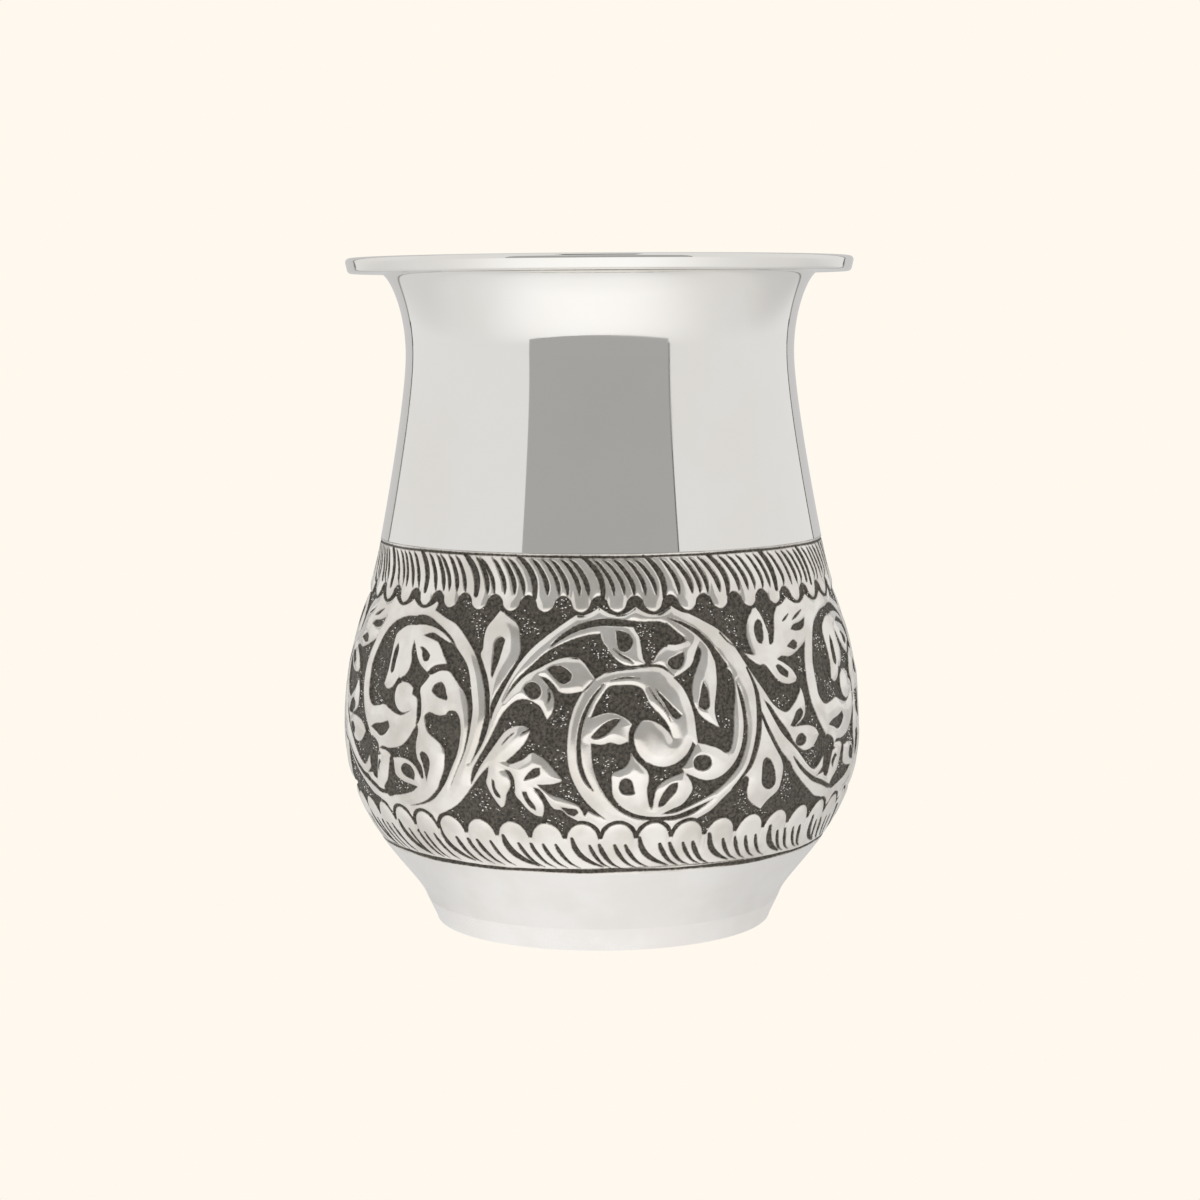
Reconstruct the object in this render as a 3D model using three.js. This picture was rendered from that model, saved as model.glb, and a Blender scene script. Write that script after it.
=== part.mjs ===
// Lota water pot, raised from silver sheet: a plain flared neck with a wired lip, a round chased bowl
// and a soldered foot ring. Millimetres, +Z up, the pot's axis on Z and its foot standing on z = 0.
// Every piece is turned about that axis from an outline in the (radius, height) plane. All the pieces
// share one number of sides, so that faces which are soldered together lie exactly on each other.
import * as THREE from "three";

// Overall sizes.
const potHeight = 99.7;
const bellyDiameter = 78.1;
const bellyHeight = 29.4;
const seamDiameter = 66.3;
const seamHeight = 58.15;
const waistDiameter = 58.1;
const waistBelowLip = 14;
const footDiameter = 50.8;
const footTopDiameter = 53.6;

// Sheet and wire.
const neckSheet = 0.6;
const bowlSheet = 0.9;
const footSheet = 0.9;
const beadDiameter = 2.26;
const wireClearance = 0.02;
const solderGap = 0.15;
const slitGap = 0.06;

// Lip: how far the flare reaches out from the waist, and the flat flange from the flare to the bead.
const flareReach = 3.65;
const flangeReach = 4;
const rimFillet = 0.35;

// Lap seam between neck and bowl: the neck's tongue inside the bowl, and the rise of its joggle.
const lapWidth = 3;
const joggleRise = 1;
const seamLean = 11.3;

// Bowl base and foot ring.
const floorHeight = 3.7;
const baseCorner = 1.2;
const baseLean = 66;
const kinkStep = 0.35;
const footTurnIn = 2.1;
const footEdgeRound = 0.6;

// Fullness of each stretch of the outline: how long its curve follows the direction at either end.
const baseFullness = 4.8;
const lowerBellyFullness = 13.7;
const upperBellyFullness = 13.6;
const shoulderFullness = 12;
const neckBaseFullness = 2.9;
const lowerWaistFullness = 6.6;
const upperWaistFullness = 6.8;
const flareFullness = 1.15;

// Fineness of the solids.
const sides = 60;
const beadSides = 8;
const lowerBellySteps = 6;
const upperBellySteps = 6;
const waistSteps = 4;
const flareSteps = 5;

const silver = {
  polished: { color: 0xdedcd7, metalness: 1, roughness: 0.18 },
  chased: { color: 0x9c958c, metalness: 1, roughness: 0.45 },
  satin: { color: 0xd8d5cf, metalness: 1, roughness: 0.35 },
  solder: { color: 0xb9b6af, metalness: 1, roughness: 0.5 },
};

const at = (radius, height) => new THREE.Vector2(radius, height);
const along = (degrees) => {
  const angle = THREE.MathUtils.degToRad(degrees);
  return at(Math.cos(angle), Math.sin(angle));
};
const moved = (point, direction, distance) => point.clone().addScaledVector(direction, distance);
const outwardOf = (direction) => at(direction.y, -direction.x);

// One stretch of the outer surface, from one point and direction to another.
function stretch(from, fromDirection, fromFullness, to, toDirection, toFullness) {
  return new THREE.CubicBezierCurve(
    from,
    moved(from, fromDirection, fromFullness),
    moved(to, toDirection, -toFullness),
    to,
  );
}

// Points of a stretch, set back from the outer surface by a depth.
function setBack(curve, steps, depth) {
  const points = [];
  for (let i = 0; i <= steps; i++) {
    const outward = outwardOf(curve.getTangent(i / steps));
    points.push(moved(curve.getPoint(i / steps), outward, -depth));
  }
  return points;
}

// A closed outline turned about the pot's axis. It runs counterclockwise, so its faces point out.
function turned(name, outline, finish) {
  const onAxis = outline[0].x === 0;
  const loop = onAxis ? outline : [...outline, outline[0]];
  const geometry = new THREE.LatheGeometry(loop, sides).rotateX(Math.PI / 2);
  const mesh = new THREE.Mesh(geometry, new THREE.MeshStandardMaterial(finish));
  mesh.name = name;
  return mesh;
}

// The outer surface, from the base of the bowl up to the lip's flange.
const up = along(90);
const out = along(0);
const seamUp = along(90 + seamLean);
const seamOut = outwardOf(seamUp);
const baseUp = along(baseLean);
const baseOut = outwardOf(baseUp);
const footTopRadius = footTopDiameter / 2;
const cornerCentre = at(
  footTopRadius + kinkStep - baseCorner * baseOut.x,
  floorHeight + baseCorner,
);
const basePoint = moved(cornerCentre, baseOut, baseCorner);
const bellyPoint = at(bellyDiameter / 2, bellyHeight);
const seamPoint = at(seamDiameter / 2, seamHeight);
const waistPoint = at(waistDiameter / 2, potHeight - waistBelowLip);
const flangePoint = at(waistDiameter / 2 + flareReach, potHeight - beadDiameter);

const lowerBelly = stretch(basePoint, baseUp, baseFullness, bellyPoint, up, lowerBellyFullness);
const upperBelly = stretch(bellyPoint, up, upperBellyFullness, seamPoint, seamUp, shoulderFullness);
const lowerNeck = stretch(seamPoint, seamUp, neckBaseFullness, waistPoint, up, lowerWaistFullness);
const flare = stretch(waistPoint, up, upperWaistFullness, flangePoint, out, flareFullness);

// The corner between the bowl's flat floor and its wall, set back from the underside by a depth.
const cornerPoints = (depth) =>
  [-90, (baseLean - 180) / 2, baseLean - 90].map((degrees) =>
    moved(cornerCentre, along(degrees), baseCorner - depth),
  );

// The lap seam. The bowl's inner face there is one flat step, and the tongue and solder follow it.
const bowlInside = setBack(upperBelly, upperBellySteps, bowlSheet);
const bowlEdgeInside = bowlInside[upperBellySteps];
const lapUp = bowlEdgeInside.clone().sub(bowlInside[upperBellySteps - 1]).normalize();
const lapIn = outwardOf(lapUp).negate();
const lapFoot = moved(bowlEdgeInside, lapUp, -lapWidth);
const tongueFoot = moved(lapFoot, lapIn, solderGap);
const tongueHead = moved(moved(bowlEdgeInside, lapIn, solderGap), seamUp, solderGap);
const neckEdge = moved(seamPoint, seamUp, solderGap);

// The lip's bead: corners of a regular bead of a given radius around the wire's centre.
const beadRadius = beadDiameter / 2;
const channelRadius = beadRadius - neckSheet;
const beadCentre = at(flangePoint.x + flangeReach, potHeight - beadRadius);
const beadStep = 360 / beadSides;
function beadCorner(radius, index) {
  const cornerRadius = radius / Math.cos(THREE.MathUtils.degToRad(beadStep / 2));
  return moved(beadCentre, along(-90 + beadStep * (index + 0.5)), cornerRadius);
}
const curl = [...Array(beadSides - 1).keys()];
const lastCorner = beadSides - 2;

// The turned edge ends above the flange, with a slit between them for the solder.
const flangeTop = flangePoint.y + neckSheet;
const slitCorner = at(beadCentre.x - beadRadius, flangeTop + slitGap);

function bellyBowl() {
  const outside = [
    ...cornerPoints(0),
    ...setBack(lowerBelly, lowerBellySteps, 0).slice(1),
    ...setBack(upperBelly, upperBellySteps, 0).slice(1),
  ];
  const inside = [
    ...cornerPoints(bowlSheet),
    ...setBack(lowerBelly, lowerBellySteps, bowlSheet).slice(1),
    ...bowlInside.slice(1),
  ];
  const outline = [at(0, floorHeight), ...outside, ...inside.reverse(), at(0, floorHeight + bowlSheet)];
  return turned("belly_bowl", outline, silver.chased);
}

function neckShell() {
  const tongue = [tongueFoot, tongueHead, neckEdge];
  const outside = [
    ...setBack(lowerNeck, waistSteps, 0).slice(1),
    ...setBack(flare, flareSteps, 0).slice(1),
    ...curl.slice(0, lastCorner).map((index) => beadCorner(beadRadius, index)),
    slitCorner,
  ];
  const joggleHead = moved(moved(neckEdge, seamUp, joggleRise), seamOut, -neckSheet);
  const inside = [
    moved(tongueFoot, lapIn, neckSheet),
    moved(tongueHead, lapIn, neckSheet),
    joggleHead,
    ...setBack(lowerNeck, waistSteps, neckSheet).slice(1),
    ...setBack(flare, flareSteps, neckSheet).slice(1),
    ...curl.map((index) => beadCorner(channelRadius, index)),
  ];
  return turned("neck_shell", [...tongue, ...outside, ...inside.reverse()], silver.polished);
}

function rimWire() {
  const wireRadius = channelRadius - wireClearance;
  const corners = [...Array(beadSides).keys()].map((index) => beadCorner(wireRadius, index));
  return turned("rim_wire", corners, silver.solder);
}

// Solder under the turned-over edge: it fills the slit to the wire and stands as a fillet inside.
function rimEdgeSolder() {
  const outline = [
    at(slitCorner.x - rimFillet, flangeTop),
    beadCorner(channelRadius, lastCorner + 1),
    beadCorner(channelRadius, lastCorner),
    slitCorner,
    moved(slitCorner, up, rimFillet),
  ];
  return turned("rim_edge_solder", outline, silver.solder);
}

function neckSeamSolder() {
  const outline = [lapFoot, bowlEdgeInside, seamPoint, neckEdge, tongueHead, tongueFoot];
  return turned("neck_seam_solder", outline, silver.solder);
}

// The foot ring stands below the floor by one solder gap, with its lower edge turned in flat.
const footTop = floorHeight - solderGap;

function footRing() {
  const wallFoot = at(footDiameter / 2, footEdgeRound);
  const roundCentre = moved(wallFoot, out, -footEdgeRound);
  const innerEdge = footDiameter / 2 - footTurnIn;
  const outline = [
    at(innerEdge, 0),
    moved(roundCentre, along(-90), footEdgeRound),
    moved(roundCentre, along(-45), footEdgeRound),
    wallFoot,
    at(footTopRadius, footTop),
    at(footTopRadius - footSheet, footTop),
    at(wallFoot.x - footSheet, footSheet),
    at(innerEdge, footSheet),
  ];
  return turned("foot_ring", outline, silver.satin);
}

function footSeamSolder() {
  const outline = [
    at(footTopRadius - footSheet, footTop),
    at(footTopRadius, footTop),
    ...cornerPoints(0).reverse(),
    at(footTopRadius - footSheet, floorHeight),
  ];
  return turned("foot_seam_solder", outline, silver.solder);
}

const pot = new THREE.Group();
pot.add(neckShell(), rimWire(), rimEdgeSolder());
pot.add(neckSeamSolder(), bellyBowl());
pot.add(footSeamSolder(), footRing());

export default pot;
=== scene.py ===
import math
import random

import bpy
import numpy as np
from mathutils import Matrix, Vector


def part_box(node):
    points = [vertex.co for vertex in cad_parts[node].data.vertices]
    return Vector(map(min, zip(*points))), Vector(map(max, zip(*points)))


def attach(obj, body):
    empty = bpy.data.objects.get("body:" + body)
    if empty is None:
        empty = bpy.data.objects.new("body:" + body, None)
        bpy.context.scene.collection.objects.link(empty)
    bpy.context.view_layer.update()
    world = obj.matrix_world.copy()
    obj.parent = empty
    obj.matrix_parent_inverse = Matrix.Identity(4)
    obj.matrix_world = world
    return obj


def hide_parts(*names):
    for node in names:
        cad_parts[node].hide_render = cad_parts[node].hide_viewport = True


# A lota pot in silver: plain polished neck, a chased and oxidised belly, a satin base and foot ring.
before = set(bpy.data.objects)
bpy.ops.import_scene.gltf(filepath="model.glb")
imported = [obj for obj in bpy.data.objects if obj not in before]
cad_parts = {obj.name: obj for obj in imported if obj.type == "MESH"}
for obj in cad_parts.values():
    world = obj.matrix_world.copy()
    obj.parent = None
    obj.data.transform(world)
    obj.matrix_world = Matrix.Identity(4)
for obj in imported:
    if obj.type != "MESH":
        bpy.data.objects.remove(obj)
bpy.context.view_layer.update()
mm = 0.001

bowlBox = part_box("belly_bowl")
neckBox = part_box("neck_shell")
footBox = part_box("foot_ring")

# The outer surface, in millimetres; sizes of whole pieces come from the frame.
surface = {
    "height": neckBox[1].z / mm,
    "bellyRadius": bowlBox[1].x / mm,
    "bellyHeight": 29.4,
    "seamRadius": 33.15,
    "seamHeight": bowlBox[1].z / mm,
    "seamLean": 11.3,
    "waistRadius": 29.05,
    "waistBelowLip": 14,
    "flareReach": 3.65,
    "flangeReach": 4,
    "beadDiameter": 2.26,
    "bowlSheet": 0.9,
    "baseLean": 66,
    "baseCorner": 1.2,
    "kinkStep": 0.35,
    "baseFullness": 4.8,
    "lowerBellyFullness": 13.7,
    "upperBellyFullness": 13.6,
    "shoulderFullness": 12,
    "neckBaseFullness": 2.9,
    "lowerWaistFullness": 6.6,
    "upperWaistFullness": 6.8,
    "flareFullness": 1.15,
    "solderGap": 0.15,
    "bellySteps": 400,
    "neckSteps": 44,
    "flareSteps": 34,
    "turns": 240,
}


def at(radius, height):
    return np.array([radius, height], dtype=float)


def along(degrees):
    return at(math.cos(math.radians(degrees)), math.sin(math.radians(degrees)))


def outwardOf(direction):
    return at(direction[1], -direction[0])


# One stretch of the outline as a cubic curve, given as points and unit directions.
def stretch(start, startDirection, startFullness, end, endDirection, endFullness, steps):
    t = np.linspace(0, 1, steps + 1)[:, None]
    a, b = start, start + startDirection * startFullness
    c, d = end - endDirection * endFullness, end
    points = (1 - t) ** 3 * a + 3 * (1 - t) ** 2 * t * b + 3 * (1 - t) * t**2 * c + t**3 * d
    slopes = 3 * (1 - t) ** 2 * (b - a) + 6 * (1 - t) * t * (c - b) + 3 * t**2 * (d - c)
    return points, slopes / np.linalg.norm(slopes, axis=1)[:, None]


def setBack(curve, depth):
    points, directions = curve
    return points - depth * np.column_stack([directions[:, 1], -directions[:, 0]])


def arc(centre, radius, fromDegrees, toDegrees, steps):
    return np.array([centre + radius * along(a) for a in np.linspace(fromDegrees, toDegrees, steps + 1)])


up, out = along(90), along(0)
seamUp = along(90 + surface["seamLean"])
seamOut = outwardOf(seamUp)
baseUp = along(surface["baseLean"])
baseOut = outwardOf(baseUp)
footTopRadius = footBox[1].x / mm
footTopHeight = footBox[1].z / mm
floorHeight = bowlBox[0].z / mm
cornerCentre = at(footTopRadius + surface["kinkStep"] - surface["baseCorner"] * baseOut[0],
                  floorHeight + surface["baseCorner"])
basePoint = cornerCentre + baseOut * surface["baseCorner"]
bellyPoint = at(surface["bellyRadius"], surface["bellyHeight"])
seamPoint = at(surface["seamRadius"], surface["seamHeight"])
waistPoint = at(surface["waistRadius"], surface["height"] - surface["waistBelowLip"])
flangePoint = at(surface["waistRadius"] + surface["flareReach"], surface["height"] - surface["beadDiameter"])
beadCentre = flangePoint + at(surface["flangeReach"], surface["beadDiameter"] / 2)

lowerBelly = stretch(basePoint, baseUp, surface["baseFullness"], bellyPoint, up,
                     surface["lowerBellyFullness"], surface["bellySteps"])
upperBelly = stretch(bellyPoint, up, surface["upperBellyFullness"], seamPoint, seamUp,
                     surface["shoulderFullness"], surface["bellySteps"])
lowerNeck = stretch(seamPoint, seamUp, surface["neckBaseFullness"], waistPoint, up,
                    surface["lowerWaistFullness"], surface["neckSteps"])
flare = stretch(waistPoint, up, surface["upperWaistFullness"], flangePoint, out,
                surface["flareFullness"], surface["flareSteps"])


# Puts a finished piece in the scene: it rides on the pot's one body and stands for some CAD nodes.
def place(name, mesh, material, slotName, *nodes):
    piece = bpy.data.objects.new(name, mesh)
    bpy.context.scene.collection.objects.link(piece)
    if material is not None:
        mesh.materials.clear()
        mesh.materials.append(material)
    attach(piece, "root")
    if nodes:
        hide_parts(*nodes)
    print(name, len(mesh.polygons), "faces")


def meshFrom(name, vertices, faces, sharpDegrees=None):
    mesh = bpy.data.meshes.new(name)
    mesh.from_pydata(vertices, [], faces)
    mesh.update()
    mesh.shade_smooth()
    if sharpDegrees is not None:
        mesh.set_sharp_from_angle(angle=math.radians(sharpDegrees))
    return mesh


# A closed outline in (radius, height) turned about the pot's axis; points on the axis become poles.
def turned(name, outline, sharpDegrees=28):
    turns = surface["turns"]
    nearAxis = 1e-6
    angles = np.linspace(0, 2 * np.pi, turns, endpoint=False)
    vertices, rings = [], []
    for radius, height in outline:
        if radius < nearAxis:
            rings.append([len(vertices)] * turns)
            vertices.append((0, 0, height * mm))
            continue
        rings.append(list(range(len(vertices), len(vertices) + turns)))
        vertices += [(radius * math.sin(a) * mm, -radius * math.cos(a) * mm, height * mm) for a in angles]
    onAxis = outline[0][0] < nearAxis
    faces = []
    for k in range(len(rings) - 1 if onAxis else len(rings)):
        low, high = rings[k], rings[(k + 1) % len(rings)]
        for i in range(turns):
            j = (i + 1) % turns
            corners = [low[i], low[j], high[j], high[i]]
            faces.append([c for n, c in enumerate(corners) if c not in corners[:n]])
    return meshFrom(name, vertices, faces, sharpDegrees)


# Chased ornament, unrolled: x runs round the belly, height runs up its curve, both in millimetres.
# The grounds are the sunken dark areas, the eyes shallower hollows in the leaves.
stripGrounds = {
    "bLeft": [(-13.1, 26.4), (-12.2, 27.8), (-10.4, 29.9), (-8.4, 31.1), (-6.1, 32.3), (-3.9, 32.7),
              (-2.8, 32.3), (-1.3, 30.3), (-0.9, 29.6), (0.6, 30.5), (3.0, 30.95), (6.0, 31.2),
              (8.0, 31.0), (9.6, 29.9), (8.3, 31.3), (6.0, 31.6), (4.4, 31.4), (3.0, 31.6), (1.8, 32.5),
              (0.9, 33.8), (0.2, 34.8), (-0.2, 36.0), (-2, 35.8), (-4.5, 35.0), (-7.5, 33.4),
              (-9.8, 31.2), (-11.9, 28.9)],
    "bTop": [(4.2, 37.7), (6.2, 37.6), (8.5, 37.5), (10, 36.6), (12.0, 34.7), (10.5, 34.2), (9, 34.2),
             (7.8, 33.2), (6.8, 31.8), (6.0, 31.5), (5.6, 32.5), (5.4, 34.2), (5.2, 35.5), (4.7, 36.4)],
    "bRight": [(9.6, 29.6), (10.5, 30.0), (11.8, 30.8), (12.5, 31.6), (13.0, 32.8), (13.6, 34.0),
               (13.95, 33.2), (13.6, 31.8), (13.0, 30.6), (12.4, 29.2), (12.1, 27.6), (12.2, 26.2),
               (12.6, 25.0), (13.2, 24.0), (14.3, 23.1), (15.8, 22.2), (15.3, 23.5), (15.15, 25),
               (15.5, 27), (15.8, 29), (15.9, 32.5), (16.6, 31.5), (18.2, 29.6), (18.4, 27), (18.0, 24),
               (17.8, 21), (17.3, 19), (16.6, 18.5), (15.5, 19.3), (14, 19.9), (12.6, 20.3), (12.4, 22),
               (12.2, 24), (11.6, 26.4), (10.7, 28.3)],
    "bRing": [(1.0, 28.6), (2.5, 28.75), (4.2, 28.7), (5.3, 28.2), (5.8, 27.2), (6.3, 26.0), (8.0, 24.0),
              (8.7, 22.8), (9.2, 21.1), (8.4, 22.3), (7.4, 23.2), (6.4, 23.7), (5.5, 23.8), (4.8, 23.3),
              (4.1, 21.6), (4.3, 20.0), (4.9, 18.8), (5.7, 17.9), (5.1, 17.5), (4.3, 18.3), (3.7, 19.4),
              (3.4, 20.8), (3.5, 22.4), (3.9, 23.3), (3.2, 24.0), (2, 24.7), (0.8, 24.95), (-0.5, 24.6),
              (-1.5, 24.2), (-0.8, 26.0), (0.1, 27.5)],
    "bBud": [(5.1, 17.5), (5.8, 16.6), (6.0, 15.5), (5.8, 14.2), (5.9, 12.8), (6.2, 11.4), (6.6, 11.2),
             (6.9, 13.6), (7.5, 14.7), (8.5, 15.4), (10.7, 16.3), (10.4, 16.8), (11.0, 17.5),
             (11.6, 18.6), (12.3, 20.0), (11.9, 20.5), (11.3, 19.2), (10.4, 18.2), (9.3, 17.5), (8, 17.2),
             (6.8, 17.4), (5.7, 17.9)],
    "bUnder": [(-1.5, 20.7), (0, 20.5), (1, 20.8), (2.2, 20.5), (3.3, 20.9), (3.6, 19.8), (3.6, 18.6),
               (2.9, 17.3), (1.3, 16.4), (1.2, 15), (1.3, 13.4), (1.9, 12.2), (3, 11.1), (4.5, 10.3),
               (6.2, 9.9), (8, 9.8), (10, 10.0), (12, 10.8), (14.9, 12.0), (12, 9.9), (10, 9.3), (8, 9.2),
               (6, 9.35), (4.2, 9.8), (2.5, 10.7), (1, 12.2), (0, 13.8), (-0.8, 15.6), (-1.3, 17.6)],
    "bOuter": [(7.9, 10.2), (9.2, 10.9), (10.5, 11.5), (11.4, 12.6), (11.9, 13.7), (11.7, 14.8),
               (10.8, 16.2), (11.8, 15.7), (12.8, 15.2), (14.2, 14.9), (15.6, 15.2), (16.8, 16.0),
               (17.9, 17.2), (18.8, 18.9), (19.3, 21), (19.4, 23), (19.2, 25), (18.6, 28.8), (19.5, 26.5),
               (19.9, 24), (20.0, 21.5), (19.6, 19), (18.6, 16.6), (17, 14.7), (15, 13), (11, 10.9),
               (9.5, 10.3)],
    "ringGapLeft": [(-26.6, 38.4), (-24, 37.4), (-22, 36.6), (-20, 34.9), (-18.9, 33.7), (-17.8, 32.1),
                    (-16.9, 30.1), (-16.2, 28), (-15.9, 26), (-15.85, 24), (-16.4, 21.3), (-16.9, 19.5),
                    (-17.8, 17.3), (-17.1, 18.4), (-16.4, 19.5), (-15.8, 20.8), (-15.3, 22.3),
                    (-15.1, 23.6), (-15.2, 25.3), (-15.25, 27), (-15.77, 29.35), (-16.6, 31.3),
                    (-17.25, 32.75), (-17.0, 33.5), (-17.05, 35), (-16.8, 36.5), (-15.9, 37.8),
                    (-14.9, 39.2), (-16.5, 40.4), (-21, 40.4), (-25.5, 40.2)],
    "ringGapRight": [(-14.9, 39.2), (-14.0, 38.5), (-12.8, 37.8), (-12.0, 36.8), (-11.6, 35.4),
                     (-11.4, 32.9), (-12.9, 30.0), (-14.0, 28.0), (-14.8, 26.3), (-15.05, 25.2),
                     (-15.0, 23.0), (-14.6, 24.6), (-13.2, 28.0), (-11.6, 31.2), (-10.3, 33.1),
                     (-9.0, 34.5), (-7.1, 36.1), (-4.7, 37.9), (-2.4, 39.3), (-6, 40.2), (-13, 40.4)],
    "stemGap": [(-17.9, 14.2), (-17.9, 15.0), (-17.6, 16.3), (-16.8, 17.9), (-15.3, 20.4), (-14.4, 22.3),
                (-13.5, 24.2), (-12.7, 25.3), (-11.9, 26.1), (-11, 26.6), (-10, 26.65), (-9, 26.3),
                (-8.1, 25.65), (-7.2, 23.9), (-6.6, 24.8), (-6.3, 26.1), (-6.45, 27.4), (-7.1, 28.5),
                (-8.3, 29.9), (-7.4, 29.7), (-6.3, 28.7), (-5.6, 27.8), (-4.35, 27.6), (-3.1, 27.8),
                (-2.2, 28.1), (-1.0, 29.5), (-2.4, 28), (-3.5, 26), (-4.2, 23.5), (-4.5, 21),
                (-4.5, 18.5), (-4.1, 16.2), (-3.3, 14.2), (-2.3, 12.5), (-1.5, 11.5), (0.4, 9.6),
                (-1.9, 10.9), (-2.4, 10.1), (-3.1, 11.5), (-3.9, 12.1), (-5.5, 12.8), (-7.1, 13.4),
                (-8.55, 14.7), (-7.1, 14.8), (-6, 15), (-5.2, 15.4), (-5.6, 16.0), (-6.3, 16.9),
                (-7.2, 18.0), (-8.0, 18.7), (-9.2, 19.2), (-10.3, 18.3), (-11.3, 17.8), (-12.3, 17.5),
                (-12.7, 17.9), (-11.9, 18.6), (-11.1, 19.4), (-10.3, 20.35), (-9.7, 21.5), (-9.4, 22.5),
                (-10.3, 22.9), (-11.3, 22.9), (-12.3, 22.45), (-13.1, 21.8), (-14.4, 19.9), (-15.3, 18.6),
                (-16.3, 17.1), (-17.1, 15.7)],
    "clusterGround": [(-15.2, 17.0), (-16, 16.2), (-16.8, 15.2), (-18.4, 13.1), (-20, 11.3),
                      (-21.5, 10.2), (-24.2, 8.8), (-24, 7.6), (-3.5, 7.6), (-3.4, 9.4), (-3.9, 9.7),
                      (-4.7, 10.2), (-5.5, 11), (-6.45, 11.2), (-7.1, 12.1), (-7.7, 13.3), (-8.4, 14.1),
                      (-9.1, 14.3), (-8.4, 13.1), (-7.9, 12), (-7.8, 11), (-8.06, 9.9), (-9, 10.1),
                      (-10, 10.9), (-10.8, 12), (-11.6, 13.1), (-11.6, 14.2), (-11.7, 15.5),
                      (-12.26, 16.5), (-13, 16.7), (-12.4, 15.7), (-12.2, 14.4), (-12.8, 13.1),
                      (-13.3, 11.3), (-13.8, 11.0), (-14.35, 11.8), (-15.2, 13.3), (-15.65, 14.7),
                      (-15.4, 15.7)],
    "aLeft": [(-21.2, 33.3), (-22.3, 34.6), (-24, 35.8), (-25.9, 36.8), (-27.3, 37.4), (-29, 37.6),
              (-30.6, 37.3), (-32, 37.2), (-33.7, 36.8), (-35.4, 36), (-36.8, 34.9), (-37.7, 33.6),
              (-38.6, 31.7), (-39.3, 29.5), (-39.2, 27), (-38.9, 24.9), (-37.6, 23.5), (-35.6, 23.7),
              (-34.3, 24), (-32.9, 23.5), (-31.5, 23.0), (-30.1, 22.9), (-28.4, 23.7), (-29.8, 23.3),
              (-30.9, 23.6), (-31.7, 24.4), (-32, 25.6), (-31.6, 27), (-30.6, 27.6), (-31.5, 28.3),
              (-32.6, 26.8), (-34, 26.3), (-34.95, 26.9), (-34.4, 29), (-34.3, 31), (-34.3, 34.1),
              (-33.3, 35.1), (-31.8, 35.8), (-30.1, 36), (-28.4, 36.2), (-26.8, 36.1), (-25.1, 35.7),
              (-23.4, 34.9)],
    "aRight": [(-27.9, 34.7), (-26.2, 35.2), (-24.8, 34.8), (-23.0, 34.1), (-21.9, 33.8), (-20.4, 32.5),
               (-19.2, 31.1), (-18.6, 29.7), (-18.1, 27.5), (-17.7, 24.9), (-17.9, 22.5), (-18.3, 20.3),
               (-18.9, 18.4), (-20.1, 15.8), (-21.2, 13.6), (-19.9, 16.4), (-19.0, 18.6), (-18.5, 20.8),
               (-18.3, 22.9), (-18.5, 25.3), (-19, 26.8), (-20.2, 28.2), (-21.2, 29.3), (-22.0, 29.9),
               (-23.5, 29.9), (-25.1, 29.2), (-25.9, 29.5), (-24.9, 30.4), (-23.7, 30.8), (-22.5, 31),
               (-23.4, 32.2), (-24.1, 33.2), (-24.8, 33.9), (-26.2, 34.3)],
    "aCore": [(-29.6, 33.8), (-29.0, 32.7), (-28.1, 31.2), (-27.2, 30.3), (-25.9, 29.5), (-25.3, 29.0),
              (-25.9, 28.2), (-26.8, 27.0), (-26.4, 25.3), (-26.3, 23.3), (-26.8, 22.0), (-27.1, 21.9),
              (-27, 23.9), (-27.2, 25.6), (-28.2, 26.1), (-28.1, 27.0), (-29.2, 27.6), (-30.6, 27.7),
              (-31.2, 28.1), (-30.0, 28.9), (-29.3, 30.6), (-29.7, 32.4)],
    "aHeart": [(-25.6, 23.3), (-24.8, 23.9), (-23.4, 23.6), (-22, 23.75), (-21.5, 24.3), (-20.4, 24.4),
               (-19.7, 23.6), (-19.4, 21.9), (-19.6, 19.8), (-20, 18.2), (-20.9, 16.2), (-21.9, 14.2),
               (-23.2, 12.5), (-24.6, 11.2), (-26.2, 10.4), (-27.9, 9.9), (-29.5, 9.6), (-27.5, 10.2),
               (-25.6, 11.1), (-23.6, 12.9), (-22.9, 14.2), (-22.2, 15.8), (-22.0, 17.2), (-22, 18.5),
               (-22.7, 19.6), (-24, 20.4), (-25.0, 21.2)],
    "aMouth": [(-26.9, 22), (-27.7, 20.9), (-28.5, 19.8), (-29.7, 18.7), (-31.2, 18.1), (-33, 17.8),
               (-34.4, 17.9), (-35.2, 17.5), (-33.2, 17.3), (-32, 16.6), (-30.2, 16.8), (-28.4, 16.5),
               (-27.2, 15.7), (-26.2, 14.1), (-25.9, 14.2), (-26.1, 15.9), (-26.9, 17.1), (-27.1, 19.0),
               (-26.7, 21)],
    "aSide": [(-37.8, 18.8), (-37.2, 19.0), (-35.7, 18.2), (-35.4, 17.3), (-35.8, 16.3), (-36.2, 14.6),
              (-36.8, 12.6), (-37.6, 13.0), (-38.2, 14.4), (-38.2, 17.0)],
    "aChin": [(-32.4, 17.1), (-31.9, 16.5), (-31.8, 15), (-31.6, 14), (-30.1, 13.3), (-28.4, 13.0),
              (-27.2, 12.8), (-28.5, 11.9), (-30.6, 11.2), (-32.9, 10.7), (-34.2, 10.3), (-35.1, 10.8),
              (-35.1, 11.7), (-33.9, 12.9), (-33.3, 14.2), (-32.8, 16.0)],
    "palmTop": [(11.0, 39.6), (13, 38.4), (15, 37.3), (17.2, 35.9), (19.1, 33.9), (20.4, 32.6),
                (22.3, 31.9), (21.7, 34.0), (21.75, 35.6), (22.4, 37.2), (23.3, 38.2), (23.9, 39.2),
                (22, 40.4), (14, 40.4)],
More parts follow.
